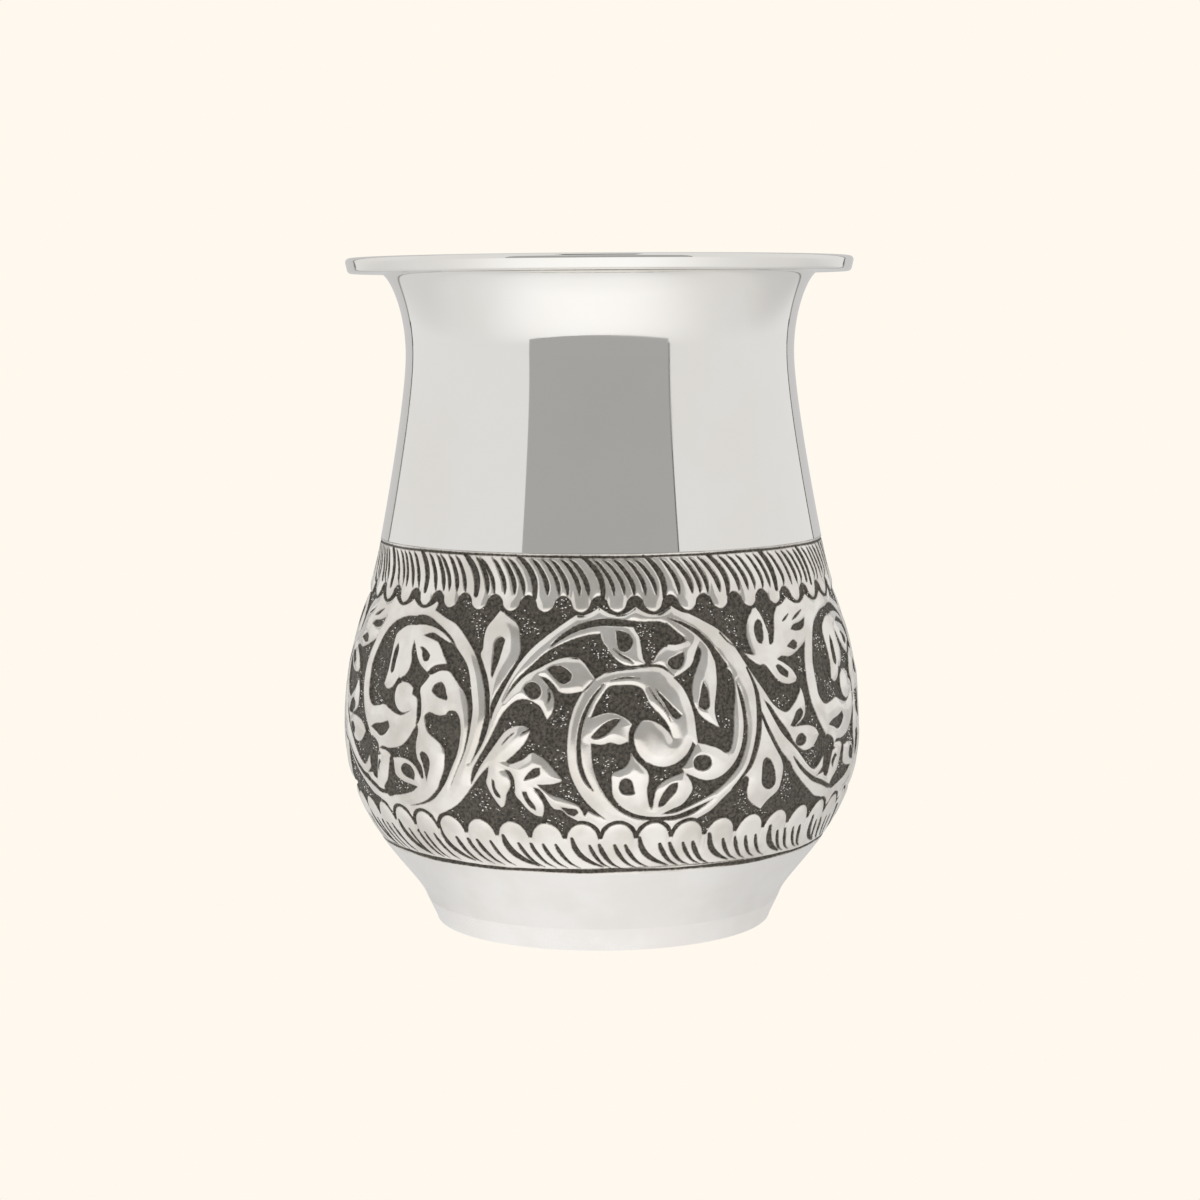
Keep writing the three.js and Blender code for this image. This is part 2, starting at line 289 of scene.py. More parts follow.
    "palmWedge": [(24.1, 38.9), (24.9, 37.7), (25.4, 36.2), (25.6, 34.9), (25.4, 33.2), (26.1, 33.4),
                  (26.8, 34.9), (27.2, 36.3), (27.6, 37.3), (28.4, 38.3), (29.4, 38.9), (31.0, 39.4),
                  (29, 40.4), (25.5, 40.2)],
    "palmCleft": [(30.4, 35.0), (31.9, 34.65), (33.6, 35.0), (34.6, 36.4), (33.1, 35.9), (31.3, 35.6)],
    "palmLower": [(26.3, 31.0), (27.3, 31.4), (28.8, 31.2), (30.5, 31.7), (32.2, 32.5), (33.2, 33.1),
                  (32.5, 31.6), (32.0, 29.9), (31.8, 27.8), (31.9, 26.1), (32.3, 24.2), (32.9, 22.5),
                  (34.2, 20.4), (36.0, 18.3), (38.3, 16.6), (37.4, 16.4), (35.8, 16.25), (34.7, 15.8),
                  (33.6, 14.7), (32.7, 14.3), (31.5, 14.9), (30.2, 16.1), (28.6, 17.8), (26.0, 20.3),
                  (24.9, 21.9), (23.6, 24.2), (22.9, 25.6), (23.9, 24.7), (25.3, 22.7), (27.0, 20.6),
                  (28.3, 18.7), (29.6, 17.7), (30.5, 17.4), (32.2, 17.8), (33.7, 19.3), (33.0, 20.2),
                  (31.8, 20.8), (30.4, 21.05), (28.3, 21.1), (29.9, 21.9), (30.7, 22.8), (30.8, 24.6),
                  (30.3, 26.2), (29.3, 27.4), (29.7, 28.1), (28.9, 29.3), (27.6, 30.3)],
    "palmUnder": [(18.9, 34.1), (20.4, 32.6), (21.6, 31.4), (22.9, 30.5), (23.8, 30.5), (24.6, 29.6),
                  (25.6, 28.3), (26.6, 27.6), (28.2, 27.3), (29.6, 27.6), (30.1, 26.6), (29.0, 24.9),
                  (28.2, 24.2), (27.3, 23.5), (26.6, 23.4), (25.4, 24.0), (24.3, 25.0), (23.0, 27.0),
                  (21.9, 28.7), (20.8, 30.6)],
    "stemFoot": [(12.6, 9.0), (14.8, 10.3), (16.3, 11.9), (18, 13.5), (19.7, 15.0), (20.2, 14.6),
                 (20.1, 12.6), (20.5, 11.4), (21.6, 10.4), (22.9, 9.6), (23.9, 10.9), (25.5, 12.2),
                 (25.9, 13.6), (26.1, 15.2), (26.0, 16.4), (27.2, 16.3), (28.1, 14.9), (30.2, 12.8),
                 (32.4, 11.1), (34.1, 10.0), (36.2, 9.4), (36.5, 8.6), (34, 7.6), (15, 7.6), (12.8, 8.2)],
    "leafCleft": [(33.6, 13.2), (34.6, 13.9), (35.6, 14.9), (37.0, 14.9), (36.6, 14.1), (35.3, 13.5)],
}
stripEyes = {
    "bPearl": [(2.0, 36.4), (2.8, 36.3), (3.8, 35.8), (4.3, 34.9), (4.0, 33.9), (3.2, 33.4), (2.4, 33.6),
               (2.1, 34.6)],
    "bLeafLow": [(13.7, 28.8), (14.2, 27.8), (14.35, 26.5), (14.3, 25.2), (13.7, 24.8), (12.9, 25.4),
                 (13.1, 26.8), (13.4, 28)],
    "bLeafHigh": [(11.3, 33.1), (10.3, 32.7), (9.2, 32.2), (8.9, 31.6), (9.5, 30.8), (10.3, 30.7),
                  (11.0, 31.3), (11.3, 32.2)],
    "bDrop": [(11.9, 17.6), (12.3, 18.4), (13.2, 18.6), (14.1, 18.3), (14.4, 17.5), (14.0, 16.7),
              (13.1, 16.4), (12.2, 16.7)],
    "bFoot": [(2.1, 14.3), (2.3, 15.4), (3, 15.8), (3.7, 15.4), (4.0, 14.4), (4.2, 13.5), (3.4, 13.4),
              (2.5, 13.6)],
    "bTongue": [(9.8, 14.9), (8.9, 14.7), (7.9, 13.5), (7.4, 12.2), (7.3, 11.4), (8.0, 11.6), (8.8, 12.6),
                (9.7, 13.8)],
    "bBrow": [(-1.5, 21.5), (-0.8, 22.4), (0.2, 23.4), (1.6, 24.1), (2.4, 24.0), (1.8, 23.2), (0.4, 21.8),
              (-0.8, 21.3)],
    "bSlit": [(7.1, 28.1), (8.2, 26.8), (9.3, 25.5), (10.4, 24.3), (10.1, 23.9), (9.4, 23.9), (8.7, 24.9),
              (8.1, 26.1), (7.3, 27.4)],
    "stemDrop": [(-14.2, 35.25), (-13.65, 34.9), (-13.8, 34.0), (-14.3, 31.6), (-14.7, 30.3),
                 (-15.0, 29.4), (-15.2, 29.8), (-15.15, 33), (-15.2, 34.3), (-14.8, 35.0)],
    "stemLeaf": [(-7.4, 30.9), (-6.6, 31.4), (-5.65, 31.45), (-4.7, 31), (-4.0, 30.2), (-4.2, 29.35),
                 (-5, 28.9), (-5.8, 29.2), (-6.6, 30.0)],
    "stemPearl": [(-10.5, 28.15), (-10, 28.9), (-9.2, 29.1), (-8.4, 28.7), (-8, 27.7), (-8.4, 26.9),
                  (-9.2, 26.7), (-10, 27.3)],
    "clusterLeft": [(-14.76, 15.35), (-14.4, 15.0), (-14.3, 14.06), (-13.7, 12.9), (-13.7, 12.5),
                    (-14.35, 12.85), (-14.7, 13.9)],
    "clusterMid": [(-10.6, 13.7), (-10, 13.7), (-9.7, 12.8), (-8.9, 11.5), (-8.9, 10.9), (-9.7, 11.5),
                   (-10.3, 12.6)],
    "clusterRight": [(-5.56, 11.56), (-4.5, 11.4), (-3.5, 11.2), (-3.2, 10.7), (-3.9, 10.1), (-4.7, 10.5)],
    "clusterTop": [(-8.1, 17.2), (-8.9, 17.05), (-9.7, 16.3), (-10.3, 15.35), (-9.35, 15.6),
                   (-8.15, 16.2)],
    "aBrow": [(-27.9, 32.95), (-27.2, 32.95), (-26.3, 32.5), (-25.6, 31.9), (-25.8, 31.2), (-26.5, 31.0),
              (-27.1, 31.6), (-27.3, 32.4)],
    "aEye": [(-24.4, 26.9), (-24.2, 27.6), (-23.7, 28.1), (-22.9, 28.3), (-22.2, 27.7), (-21.9, 26.8),
             (-21.6, 26.1), (-21.8, 25.8), (-22.8, 26.0), (-23.8, 26.4)],
    "aHeel": [(-26.2, 17.8), (-25.7, 18.2), (-24.9, 17.9), (-24.4, 17.0), (-24.5, 15.8), (-24.9, 14.8),
              (-25.2, 13.9), (-25.4, 14.7), (-25.7, 16.2)],
    "aChinDrop": [(-29.95, 15.1), (-29.7, 15.8), (-29, 16.1), (-28.1, 15.8), (-27.4, 14.9), (-27.5, 13.8),
                  (-28.5, 14.0), (-29.5, 14.4)],
    "aCheek": [(-32.8, 33.1), (-32.4, 32.1), (-32.5, 30.6), (-32.6, 29.1), (-33.0, 28.6), (-33.5, 29.1),
               (-33.5, 30.6), (-33.3, 32.1)],
    "aBand": [(-37.3, 20.4), (-36.0, 21.0), (-34.4, 21.3), (-32.8, 21.8), (-32.4, 20.9), (-33.3, 19.9),
              (-34.6, 19.4), (-35.8, 19.9)],
    "aLip": [(-35.2, 15.9), (-34.7, 15.6), (-35.3, 14.9), (-35.6, 13.8), (-35.9, 14.6), (-35.6, 15.4)],
    "palmLeaf": [(23.4, 36.6), (24.0, 37.0), (24.6, 36.6), (24.5, 35.4), (24.3, 34.2), (23.8, 33.4),
                 (23.2, 33.7), (22.9, 34.8), (23.0, 35.8)],
    "palmDrop": [(28.5, 32.6), (29.3, 33.1), (30.2, 33.45), (30.9, 33.0), (30.8, 32.3), (30.1, 32.05),
                 (29.3, 32.3)],
    "palmLow": [(25.6, 30.1), (26.3, 30.25), (27.2, 29.6), (27.9, 29.0), (27.6, 28.2), (26.9, 28.5),
                (26.1, 29.1)],
    "palmHook": [(27.3, 21.4), (28.0, 22.4), (28.6, 23.3), (29.4, 23.7), (30.0, 23.0), (29.7, 22.2),
                 (28.9, 21.6), (28.2, 21.1)],
    "palmPearl": [(28.4, 19.2), (28.8, 19.9), (29.6, 20.0), (30.4, 19.3), (30.2, 18.6), (29.4, 18.2),
                  (28.7, 18.5)],
    "dropLeaf": [(22.3, 16.9), (22.8, 17.4), (23.5, 17.0), (24.1, 16.0), (24.5, 14.7), (24.6, 13.4),
                 (23.9, 12.7), (22.9, 12.9), (22.3, 13.7), (22.2, 15.2)],
}
# Cut lines: points of (x, height, width).
stripLines = {
    "bCrest": [(-7.0, 34.2, 0.2), (-6, 35.1, 0.5), (-4.7, 36.0, 0.7), (-3, 36.9, 0.9), (0, 37.55, 1.0),
               (4.6, 37.3, 0.9)],
    "bPearlVein": [(1.6, 33.8, 0.15), (2.6, 32.9, 0.3), (3.6, 32.3, 0.3), (4.2, 31.8, 0.15)],
    "bCrestRight": [(9.5, 37.95, 0.15), (11.5, 37.1, 0.45), (13.5, 35.8, 0.7), (15, 34.2, 0.8),
                    (17, 30.8, 1.2)],
    "bCrestFine": [(9.3, 37.3, 0.12), (10.6, 36, 0.2), (11.7, 35.1, 0.12)],
    "bEdgeFine": [(17.2, 35.5, 0.3), (18.2, 34.2, 0.25), (19.3, 33.4, 0.1)],
    "bRingLeft": [(0.2, 28.9, 0.15), (-1.3, 26.8, 0.4), (-2.5, 24, 0.5), (-3.0, 21, 0.55),
                  (-2.9, 18, 0.6), (-2.3, 15.8, 0.55), (-1.2, 14, 0.15)],
    "bRingTop": [(1.2, 29.4, 0.12), (3, 29.75, 0.25), (5, 29.6, 0.12)],
    "bBudVein": [(6.2, 28.3, 0.1), (7.0, 26.9, 0.25), (8.2, 25.2, 0.2), (8.9, 23.6, 0.1)],
    "clusterFine": [(-13.2, 20.2, 0.12), (-12.5, 21.1, 0.2), (-11.6, 21.9, 0.12)],
    "clusterTip": [(-10.6, 21.8, 0.12), (-10.0, 22.2, 0.3), (-9.5, 22.5, 0.2)],
    "leafFine": [(-7.1, 28.1, 0.15), (-6.9, 27.1, 0.35), (-7.1, 26.3, 0.15)],
    "ringRight": [(20.7, 30.3, 0.3), (21.5, 27.8, 0.55), (21.8, 25.6, 0.7), (21.75, 22.8, 0.8),
                  (21.5, 20.6, 0.8), (20.9, 18.3, 0.75), (20.1, 16.4, 0.6), (18.9, 14.6, 0.5),
                  (17.8, 13.3, 0.3)],
    "stemRight": [(22.2, 23.8, 0.3), (22.9, 22.0, 0.5), (24.1, 19.7, 0.55), (25.3, 17.7, 0.6),
                  (26.6, 16.2, 0.9)],
    "stemFine": [(27.8, 16.9, 0.15), (29.1, 15.4, 0.5), (30.8, 14.0, 0.6), (32.6, 12.9, 0.7),
                 (35.2, 11.9, 0.7), (37.4, 11.0, 0.6), (39.2, 10.7, 0.3)],
    "palmVeinTop": [(28.8, 36.3, 0.15), (29.6, 36.7, 0.35), (30.4, 37.2, 0.12)],
    "palmVein": [(31.1, 36.3, 0.15), (32.2, 36.8, 0.45), (33.8, 37.5, 0.15)],
    "aSeam": [(-38.0, 19.0, 0.5), (-39.4, 20.4, 0.9), (-40.6, 22.2, 1.1), (-41.7, 24.9, 1.0),
              (-42.1, 27.6, 0.9)],
}
# Where each copy of the front strip starts. The two others are stretched by the give, to go once round.
strip = {
    "starts": (0.0, 73.2, 149.7),
    "give": 3.3,
    "giveFrom": 20,
    "giveOver": 12,
}
bandHeight = 47.04
bandLength = 226.195

# The scalloped edges of the ground above and below the scroll, the strokes beyond them and the edge lines.
border = {
    "far": 3.0,
    "noEdge": -9,
    "topLobes": 43,
    "topPhase": 2.3,
    "topEdge": 40.15,
    "topSwing": 1.15,
    "topFullness": 0.62,
    "topFoot": 38.55,
    "topFootSwing": 1.15,
    "topSteepest": 2.2,
    "topFrom": 38.7,
    "bottomLobes": 46,
    "bottomPhase": 2.1,
    "bottomEdge": 6.4,
    "bottomRise": 2.5,
    "bottomCusp": 0.2,
    "bottomFullness": 0.55,
    "bottomHead": 7.2,
    "bottomHeadRise": 2.2,
    "bottomHeadSlant": 0.9,
    "bottomSteepest": 2.5,
    "bottomTo": 9.0,
    "strokeSeed": 4,
    "strokeGroups": 23,
    "strokeSwing": (0.88, 1.1),
    "topStrokes": (2.1, 3.7, 5.2, 6.7, 8.2),
    "topStrokePhase": 9.75,
    "bottomStrokes": (2.4, 4.2, 5.9, 7.6),
    "bottomStrokePhase": 5.4,
    "footLine": 0.58,
    "footLineHalfWidth": 0.3,
    "headLine": 46.72,
    "headLineHalfWidth": 0.17,
    "fineLine": 0.95,
    "fineLineHalfWidth": 0.07,
}
topStroke = [(-2.9, 46.35, 0.14), (-2.0, 45.65, 0.5), (-1.1, 44.5, 0.62), (-0.45, 43.4, 0.68),
             (-0.1, 42.3, 0.62), (0, 41.35, 0.2)]
topStrokeWide = [(-3.2, 46.85, 0.25), (-2.1, 46.1, 0.75), (-1.0, 44.9, 0.95), (-0.25, 43.5, 1.0),
                 (0.0, 42.2, 0.9), (0.0, 41.0, 0.7)]
bottomStroke = [(0, 5.45, 0.4), (0.42, 4.35, 0.64), (1.17, 3.05, 0.55), (2.1, 2.0, 0.36),
                (3.4, 1.25, 0.1)]
bottomStrokeWide = [(-0.05, 6.55, 0.5), (0.3, 5.0, 0.9), (1.1, 3.6, 0.95), (2.5, 2.4, 0.7),
                    (4.3, 1.45, 0.2)]


# A smooth line through the points: Catmull-Rom, with a sharp corner wherever the turn is over cornerTurn.
def curveThrough(points, closed, step=0.3, cornerTurn=62):
    path = np.array(points, dtype=float)
    count = len(path)
    spot = path[:, :2]
    following = np.roll(spot, -1, axis=0) - spot
    leading = spot - np.roll(spot, 1, axis=0)
    turn = np.degrees(np.arctan2(leading[:, 0] * following[:, 1] - leading[:, 1] * following[:, 0],
                                 (leading * following).sum(axis=1)))
    corner = np.abs(turn) > cornerTurn
    made = []
    for i in range(count if closed else count - 1):
        j = (i + 1) % count
        before = path[(i - 1) % count] if closed or i > 0 else path[i]
        after = path[(j + 1) % count] if closed or j < count - 1 else path[j]
        span = math.dist(path[i, :2], path[j, :2])
        reachBack = math.dist(before[:2], path[i, :2])
        reachOn = math.dist(after[:2], path[j, :2])
        leave = (path[j] - before) * span / (span + reachBack)
        arrive = (after - path[i]) * span / (span + reachOn)
        if corner[i] or (not closed and i == 0):
            leave = path[j] - path[i]
        if corner[j] or (not closed and j == count - 1):
            arrive = path[j] - path[i]
        pieces = max(2, int(math.ceil(span / step)))
        t = (np.arange(pieces) / pieces)[:, None]
        made.append((2 * t**3 - 3 * t**2 + 1) * path[i] + (t**3 - 2 * t**2 + t) * leave
                    + (3 * t**2 - 2 * t**3) * path[j] + (t**3 - t**2) * arrive)
    if not closed:
        made.append(path[-1:])
    return np.concatenate(made)


# How far along a segment the nearest place to each grid point lies, from 0 to 1.
def shareAlong(x, y, ax, ay, ex, ey):
    shortest = 1e-12
    return np.clip(((x - ax) * ex + (y - ay) * ey) / max(ex * ex + ey * ey, shortest), 0, 1)


# Distance from each grid point to an outline, below zero inside it.
def outlineDistance(x, y, outline):
    nearest = np.full(x.shape, np.inf)
    inside = np.zeros(x.shape, dtype=bool)
    for (ax, ay), (bx, by) in zip(outline, np.roll(outline, -1, axis=0)):
        ex, ey = bx - ax, by - ay
        share = shareAlong(x, y, ax, ay, ex, ey)
        nearest = np.minimum(nearest, (x - ax - share * ex) ** 2 + (y - ay - share * ey) ** 2)
        if ay != by:
            inside ^= ((ay > y) != (by > y)) & (x < ex * (y - ay) / (by - ay) + ax)
    return np.sqrt(nearest) * np.where(inside, -1, 1)


# Distance to a cut line whose width changes along it.
def lineDistance(x, y, line):
    nearest = np.full(x.shape, np.inf)
    for (ax, ay, aw), (bx, by, bw) in zip(line[:-1], line[1:]):
        ex, ey = bx - ax, by - ay
        share = shareAlong(x, y, ax, ay, ex, ey)
        width = aw + (bw - aw) * share
        nearest = np.minimum(nearest, np.hypot(x - ax - share * ex, y - ay - share * ey) - width / 2)
    return nearest


# Lowers a field to the distance of one shape, near the shape only; x wraps round the band.
def cut(field, xs, ys, shape, distance, margin=1.2):
    low, high = shape[:, 0].min() - margin, shape[:, 0].max() + margin
    rows = np.nonzero((ys >= shape[:, 1].min() - margin) & (ys <= shape[:, 1].max() + margin))[0]
    for lap in (-bandLength, 0, bandLength):
        columns = np.nonzero((xs >= low + lap) & (xs <= high + lap))[0]
        if len(columns) == 0 or len(rows) == 0:
            continue
        x, y = np.meshgrid(xs[columns] - lap, ys[rows])
        patch = np.ix_(rows, columns)
        field[patch] = np.minimum(field[patch], distance(x, y, shape))


def shiftedShape(points, start):
    shape = np.array(points, dtype=float)
    if start > 0:
        shape[:, 0] += strip["give"] * np.clip((shape[:, 0] - strip["giveFrom"]) / strip["giveOver"], 0, 1)
    shape[:, 0] += start
    return shape


# A wave with a whole number of turns round the band.
def roundWave(x, turns, phase=0.0):
    return np.sin(2 * np.pi * turns * x / bandLength + phase)


# How much longer a scalloped edge is than its run, so that a height over it becomes a distance.
def slant(edge, xs, steepest):
    slope = np.gradient(edge, axis=1) / (xs[1] - xs[0])
    return np.sqrt(1 + np.clip(slope, -steepest, steepest)**2)


# Joins the scallops above the scroll to the ground, and ends the ground at their upper edge.
def addTopScallops(ground, xs, x, y):
    turn = 2 * np.pi * border["topLobes"] * (x - border["topPhase"]) / bandLength
    swing = np.sign(np.cos(turn)) * np.abs(np.cos(turn)) ** border["topFullness"]
    edge = border["topEdge"] - border["topSwing"] * swing
    lowEdge = border["topFoot"] + border["topFootSwing"] * (1 - np.abs(np.cos(turn / 2)))
    above = (y - edge) / slant(edge, xs, border["topSteepest"])
    ground = np.minimum(ground, np.maximum(above, lowEdge - y))
    return np.maximum(ground, np.where(y > border["topFrom"], above, border["noEdge"]))


# Joins the scallops below the scroll to the ground, and ends the ground at their lower edge.
def addBottomScallops(ground, xs, x, y):
    turn = 2 * np.pi * border["bottomLobes"] * (x - border["bottomPhase"]) / bandLength
    bow = np.abs(np.cos(turn / 2))
    swell = np.clip((bow - border["bottomCusp"]) / (1 - border["bottomCusp"]), 0, 1)
    edge = border["bottomEdge"] + border["bottomRise"] * swell ** border["bottomFullness"]
    highEdge = border["bottomHead"] + border["bottomHeadRise"] * bow**0.5
    below = (edge - y) / slant(edge, xs, border["bottomSteepest"])
    ground = np.minimum(ground, np.maximum(below, (y - highEdge) * border["bottomHeadSlant"]))
    return np.maximum(ground, np.where(y < border["bottomTo"], below, border["noEdge"]))


# Cuts the strokes of both borders: each group starts with a wide one, and chance moves them a little.
def addStrokes(hollow, xs, ys):
    chance = random.Random(border["strokeSeed"])
    pitch = bandLength / border["strokeGroups"]
    kinds = (("top", topStroke, topStrokeWide), ("bottom", bottomStroke, bottomStrokeWide))
    for group in range(border["strokeGroups"]):
        for kind, plain, wide in kinds:
            phase = border[kind + "StrokePhase"] + group * pitch
            for offset in (0,) + border[kind + "Strokes"]:
                stroke = np.array(plain if offset else wide, dtype=float)
                shift, slimmest = (0.28, 0.85) if offset else (0.5, 0.75)
                stroke[:, 0] = stroke[:, 0] * chance.uniform(*border["strokeSwing"]) + phase + offset
                stroke[:, 0] += chance.uniform(-shift, shift)
                stroke[:, 2] *= chance.uniform(slimmest, 1.15)
                cut(hollow, xs, ys, curveThrough(stroke, False), lineDistance)


# The lines that close the band at its foot and head, cut by a hand that wavers a little.
def addEdgeLines(hollow, x, y):
    wobble = 0.12 * roundWave(x, 5, 1) + 0.05 * roundWave(x, 17)
    swell = 0.07 * roundWave(x, 9, 2)
    footLine = np.abs(y - border["footLine"] - wobble) - (border["footLineHalfWidth"] + swell)
    headLine = np.abs(y - border["headLine"] + 0.4 * wobble) - border["headLineHalfWidth"] - 0.4 * swell
    fineHeight = border["fineLine"] + 0.3 * roundWave(x, 4, 0.6)
    fineLine = np.abs(y - fineHeight) - border["fineLineHalfWidth"]
    return np.minimum.reduce([hollow, footLine, headLine, fineLine])


# Two fields over the unrolled band: the distance from the deep grounds, and the distance from the
# hollows and cut lines.
def paintBand(xs, ys):
    ground = np.full((len(ys), len(xs)), border["far"])
    hollow = ground.copy()
    for start in strip["starts"]:
        for points in stripGrounds.values():
            cut(ground, xs, ys, curveThrough(shiftedShape(points, start), True), outlineDistance)
        for points in stripEyes.values():
            cut(hollow, xs, ys, curveThrough(shiftedShape(points, start), True), outlineDistance)
        for points in stripLines.values():
            cut(hollow, xs, ys, curveThrough(shiftedShape(points, start), False), lineDistance)
    x, y = np.meshgrid(xs, ys)
    ground = addTopScallops(ground, xs, x, y)
    ground = addBottomScallops(ground, xs, x, y)
    addStrokes(hollow, xs, ys)
    return ground, addEdgeLines(hollow, x, y)


def newGroup(name, inputs, outputs):
    tree = bpy.data.node_groups.new(name, "ShaderNodeTree")
    for label, kind, value in inputs:
        socket = tree.interface.new_socket(name=label, in_out="INPUT", socket_type=kind)
        if value is not None:
            socket.default_value = value
    for label, kind in outputs:
        tree.interface.new_socket(name=label, in_out="OUTPUT", socket_type=kind)
    return tree, tree.nodes.new("NodeGroupInput"), tree.nodes.new("NodeGroupOutput")


def combine(tree, operation, *values):
    node = tree.nodes.new("ShaderNodeMath")
    node.operation = operation
    for socket, value in zip(node.inputs, values):
        if isinstance(value, float):
            socket.default_value = value
        else:
            tree.links.new(value, socket)
    return node.outputs[0]


def blendRange(tree, value, fromLow, fromHigh, toLow, toHigh):
    node = tree.nodes.new("ShaderNodeMapRange")
    node.interpolation_type = "SMOOTHSTEP"
    tree.links.new(value, node.inputs["Value"])
    ends = {"From Min": fromLow, "From Max": fromHigh, "To Min": toLow, "To Max": toHigh}
    for label, amount in ends.items():
        node.inputs[label].default_value = amount
    return node.outputs["Result"]


# A Mix node has its two colours at inputs 6 and 7, and the mixed colour at output 2.
def mixColour(tree, factor, first, second):
    node = tree.nodes.new("ShaderNodeMix")
    node.data_type = "RGBA"
    tree.links.new(factor, node.inputs[0])
    for index, value in ((6, first), (7, second)):
        if isinstance(value, tuple):
            node.inputs[index].default_value = (*value, 1)
        else:
            tree.links.new(value, node.inputs[index])
    return node.outputs[2]


def noise(tree, vector, scale, detail, roughness):
    node = tree.nodes.new("ShaderNodeTexNoise")
    node.inputs["Detail"].default_value = detail
    node.inputs["Roughness"].default_value = roughness
    tree.links.new(vector, node.inputs["Vector"])
    tree.links.new(scale, node.inputs["Scale"])
    return node.outputs["Fac"]


# Faint marks of wiping and polishing: fine lines that run round the pot, and soft cloudy patches.
def makeWipeMarks():
    tree, given, made = newGroup(
        "wipeMarks",
        [("Vector", "NodeSocketVector", None), ("Fineness", "NodeSocketFloat", 900.0),
         ("Cloud Size", "NodeSocketFloat", 60.0), ("Strength", "NodeSocketFloat", 1.0)],
        [("Height", "NodeSocketFloat"), ("Cloud", "NodeSocketFloat")],
    )
    squeeze = tree.nodes.new("ShaderNodeVectorMath")
    squeeze.operation = "MULTIPLY"
    squeeze.inputs[1].default_value = (0.03, 0.03, 1.0)
    tree.links.new(given.outputs["Vector"], squeeze.inputs[0])
    lines = noise(tree, squeeze.outputs[0], given.outputs["Fineness"], 3.0, 0.6)
    cloud = noise(tree, given.outputs["Vector"], given.outputs["Cloud Size"], 3.0, 0.55)
    both = combine(tree, "ADD", combine(tree, "MULTIPLY", lines, 0.7), combine(tree, "MULTIPLY", cloud, 0.3))
    tree.links.new(combine(tree, "MULTIPLY", both, given.outputs["Strength"]), made.inputs["Height"])
    tree.links.new(blendRange(tree, cloud, 0.35, 0.68, 0.0, 1.0), made.inputs["Cloud"])
    return tree


# Grainy metal: a fine pitted height and a coarser mottling.
def makeGrain():
    tree, given, made = newGroup(
        "metalGrain",
        [("Vector", "NodeSocketVector", None), ("Grain Scale", "NodeSocketFloat", 2500.0),
         ("Mottle Scale", "NodeSocketFloat", 700.0)],
        [("Height", "NodeSocketFloat"), ("Mottle", "NodeSocketFloat")],
    )
    fine = noise(tree, given.outputs["Vector"], given.outputs["Grain Scale"], 2.0, 0.6)
    coarse = noise(tree, given.outputs["Vector"], given.outputs["Mottle Scale"], 3.0, 0.6)
    pits = combine(tree, "ADD", combine(tree, "MULTIPLY", fine, 0.5), coarse)
    tree.links.new(pits, made.inputs["Height"])
    tree.links.new(blendRange(tree, coarse, 0.3, 0.7, 0.0, 1.0), made.inputs["Mottle"])
    return tree


wipeMarks = makeWipeMarks()
metalGrain = makeGrain()


def useGroup(tree, group, vector, **values):
    node = tree.nodes.new("ShaderNodeGroup")
    node.node_tree = group
    tree.links.new(vector, node.inputs["Vector"])
    for label, value in values.items():
        node.inputs[label.replace("_", " ")].default_value = value
    return node


def startMaterial(name):
    material = bpy.data.materials.new(name)
    material.use_nodes = True
    tree = material.node_tree
    shader = tree.nodes["Principled BSDF"]
    spot = tree.nodes.new("ShaderNodeTexCoord").outputs["Object"]
    return material, tree, shader, spot


def addBump(tree, shader, height, distance):
    bump = tree.nodes.new("ShaderNodeBump")
    bump.inputs["Distance"].default_value = distance
    tree.links.new(height, bump.inputs["Height"])
    tree.links.new(bump.outputs["Normal"], shader.inputs["Normal"])


# Plain silver: colour, tint in the cloudy patches, roughness range, and the fineness and depth of marks.
silverFinishes = {
    "polishedSilver": {"colour": (0.905, 0.887, 0.855), "tint": (0.89, 0.864, 0.82), "rough": (0.03, 0.07),
                       "fineness": 1400.0, "cloud": 55.0, "depth": 0.0000018},
    "satinSilver": {"colour": (0.915, 0.893, 0.862), "tint": (0.875, 0.845, 0.808), "rough": (0.28, 0.4),
                    "fineness": 2600.0, "cloud": 90.0, "depth": 0.000012},
    # The foot's silver is the satin silver painted brighter, a painted highlight on the foot ring; the burrs
    # take it too.
    "paintedBrightFootSilver": {"colour": (0.97, 0.945, 0.915), "tint": (0.93, 0.89, 0.85), "rough": (0.26, 0.38),
                   "fineness": 2200.0, "cloud": 110.0, "depth": 0.00001},
    "solderSilver": {"colour": (0.66, 0.64, 0.61), "tint": (0.5, 0.48, 0.45), "rough": (0.3, 0.5),
                     "fineness": 3000.0, "cloud": 300.0, "depth": 0.00002},
}


def makeSilver(name):
    finish = silverFinishes[name]
    material, tree, shader, spot = startMaterial(name)
    marks = useGroup(tree, wipeMarks, spot, Fineness=finish["fineness"], Cloud_Size=finish["cloud"])
    shader.inputs["Metallic"].default_value = 1.0
    tree.links.new(mixColour(tree, marks.outputs["Cloud"], finish["colour"], finish["tint"]),
                   shader.inputs["Base Color"])
    low, high = finish["rough"]
    tree.links.new(blendRange(tree, marks.outputs["Cloud"], 0.0, 1.0, low, high), shader.inputs["Roughness"])
    addBump(tree, shader, marks.outputs["Height"], finish["depth"])
    return material


chasedFinish = {
    "silver": (0.97, 0.935, 0.88),
    "silverTint": (0.8, 0.755, 0.69),
    # The grey edge tone is patina that creeps up from the hollows, and painted shade along the raised edges.
    "edgePatinaAndShade": (0.5, 0.465, 0.415),
    "oxide": (0.04, 0.035, 0.0275),
    "oxideLight": (0.155, 0.136, 0.108),
    "silverRough": 0.16,
    "oxideRough": 0.55,
    "oxideMetal": 0.35,
    "raggedness": 0.05,
    "edgeRange": (-0.04, 0.05),
    "edgePatinaAndShadeRange": (0.03, 0.17),
    "fineness": 900.0,
    "cloud": 160.0,
    "grain": 5200.0,
    "mottle": 2300.0,
    "silverGrain": 0.06,
    "grainDepth": 0.00006,
}


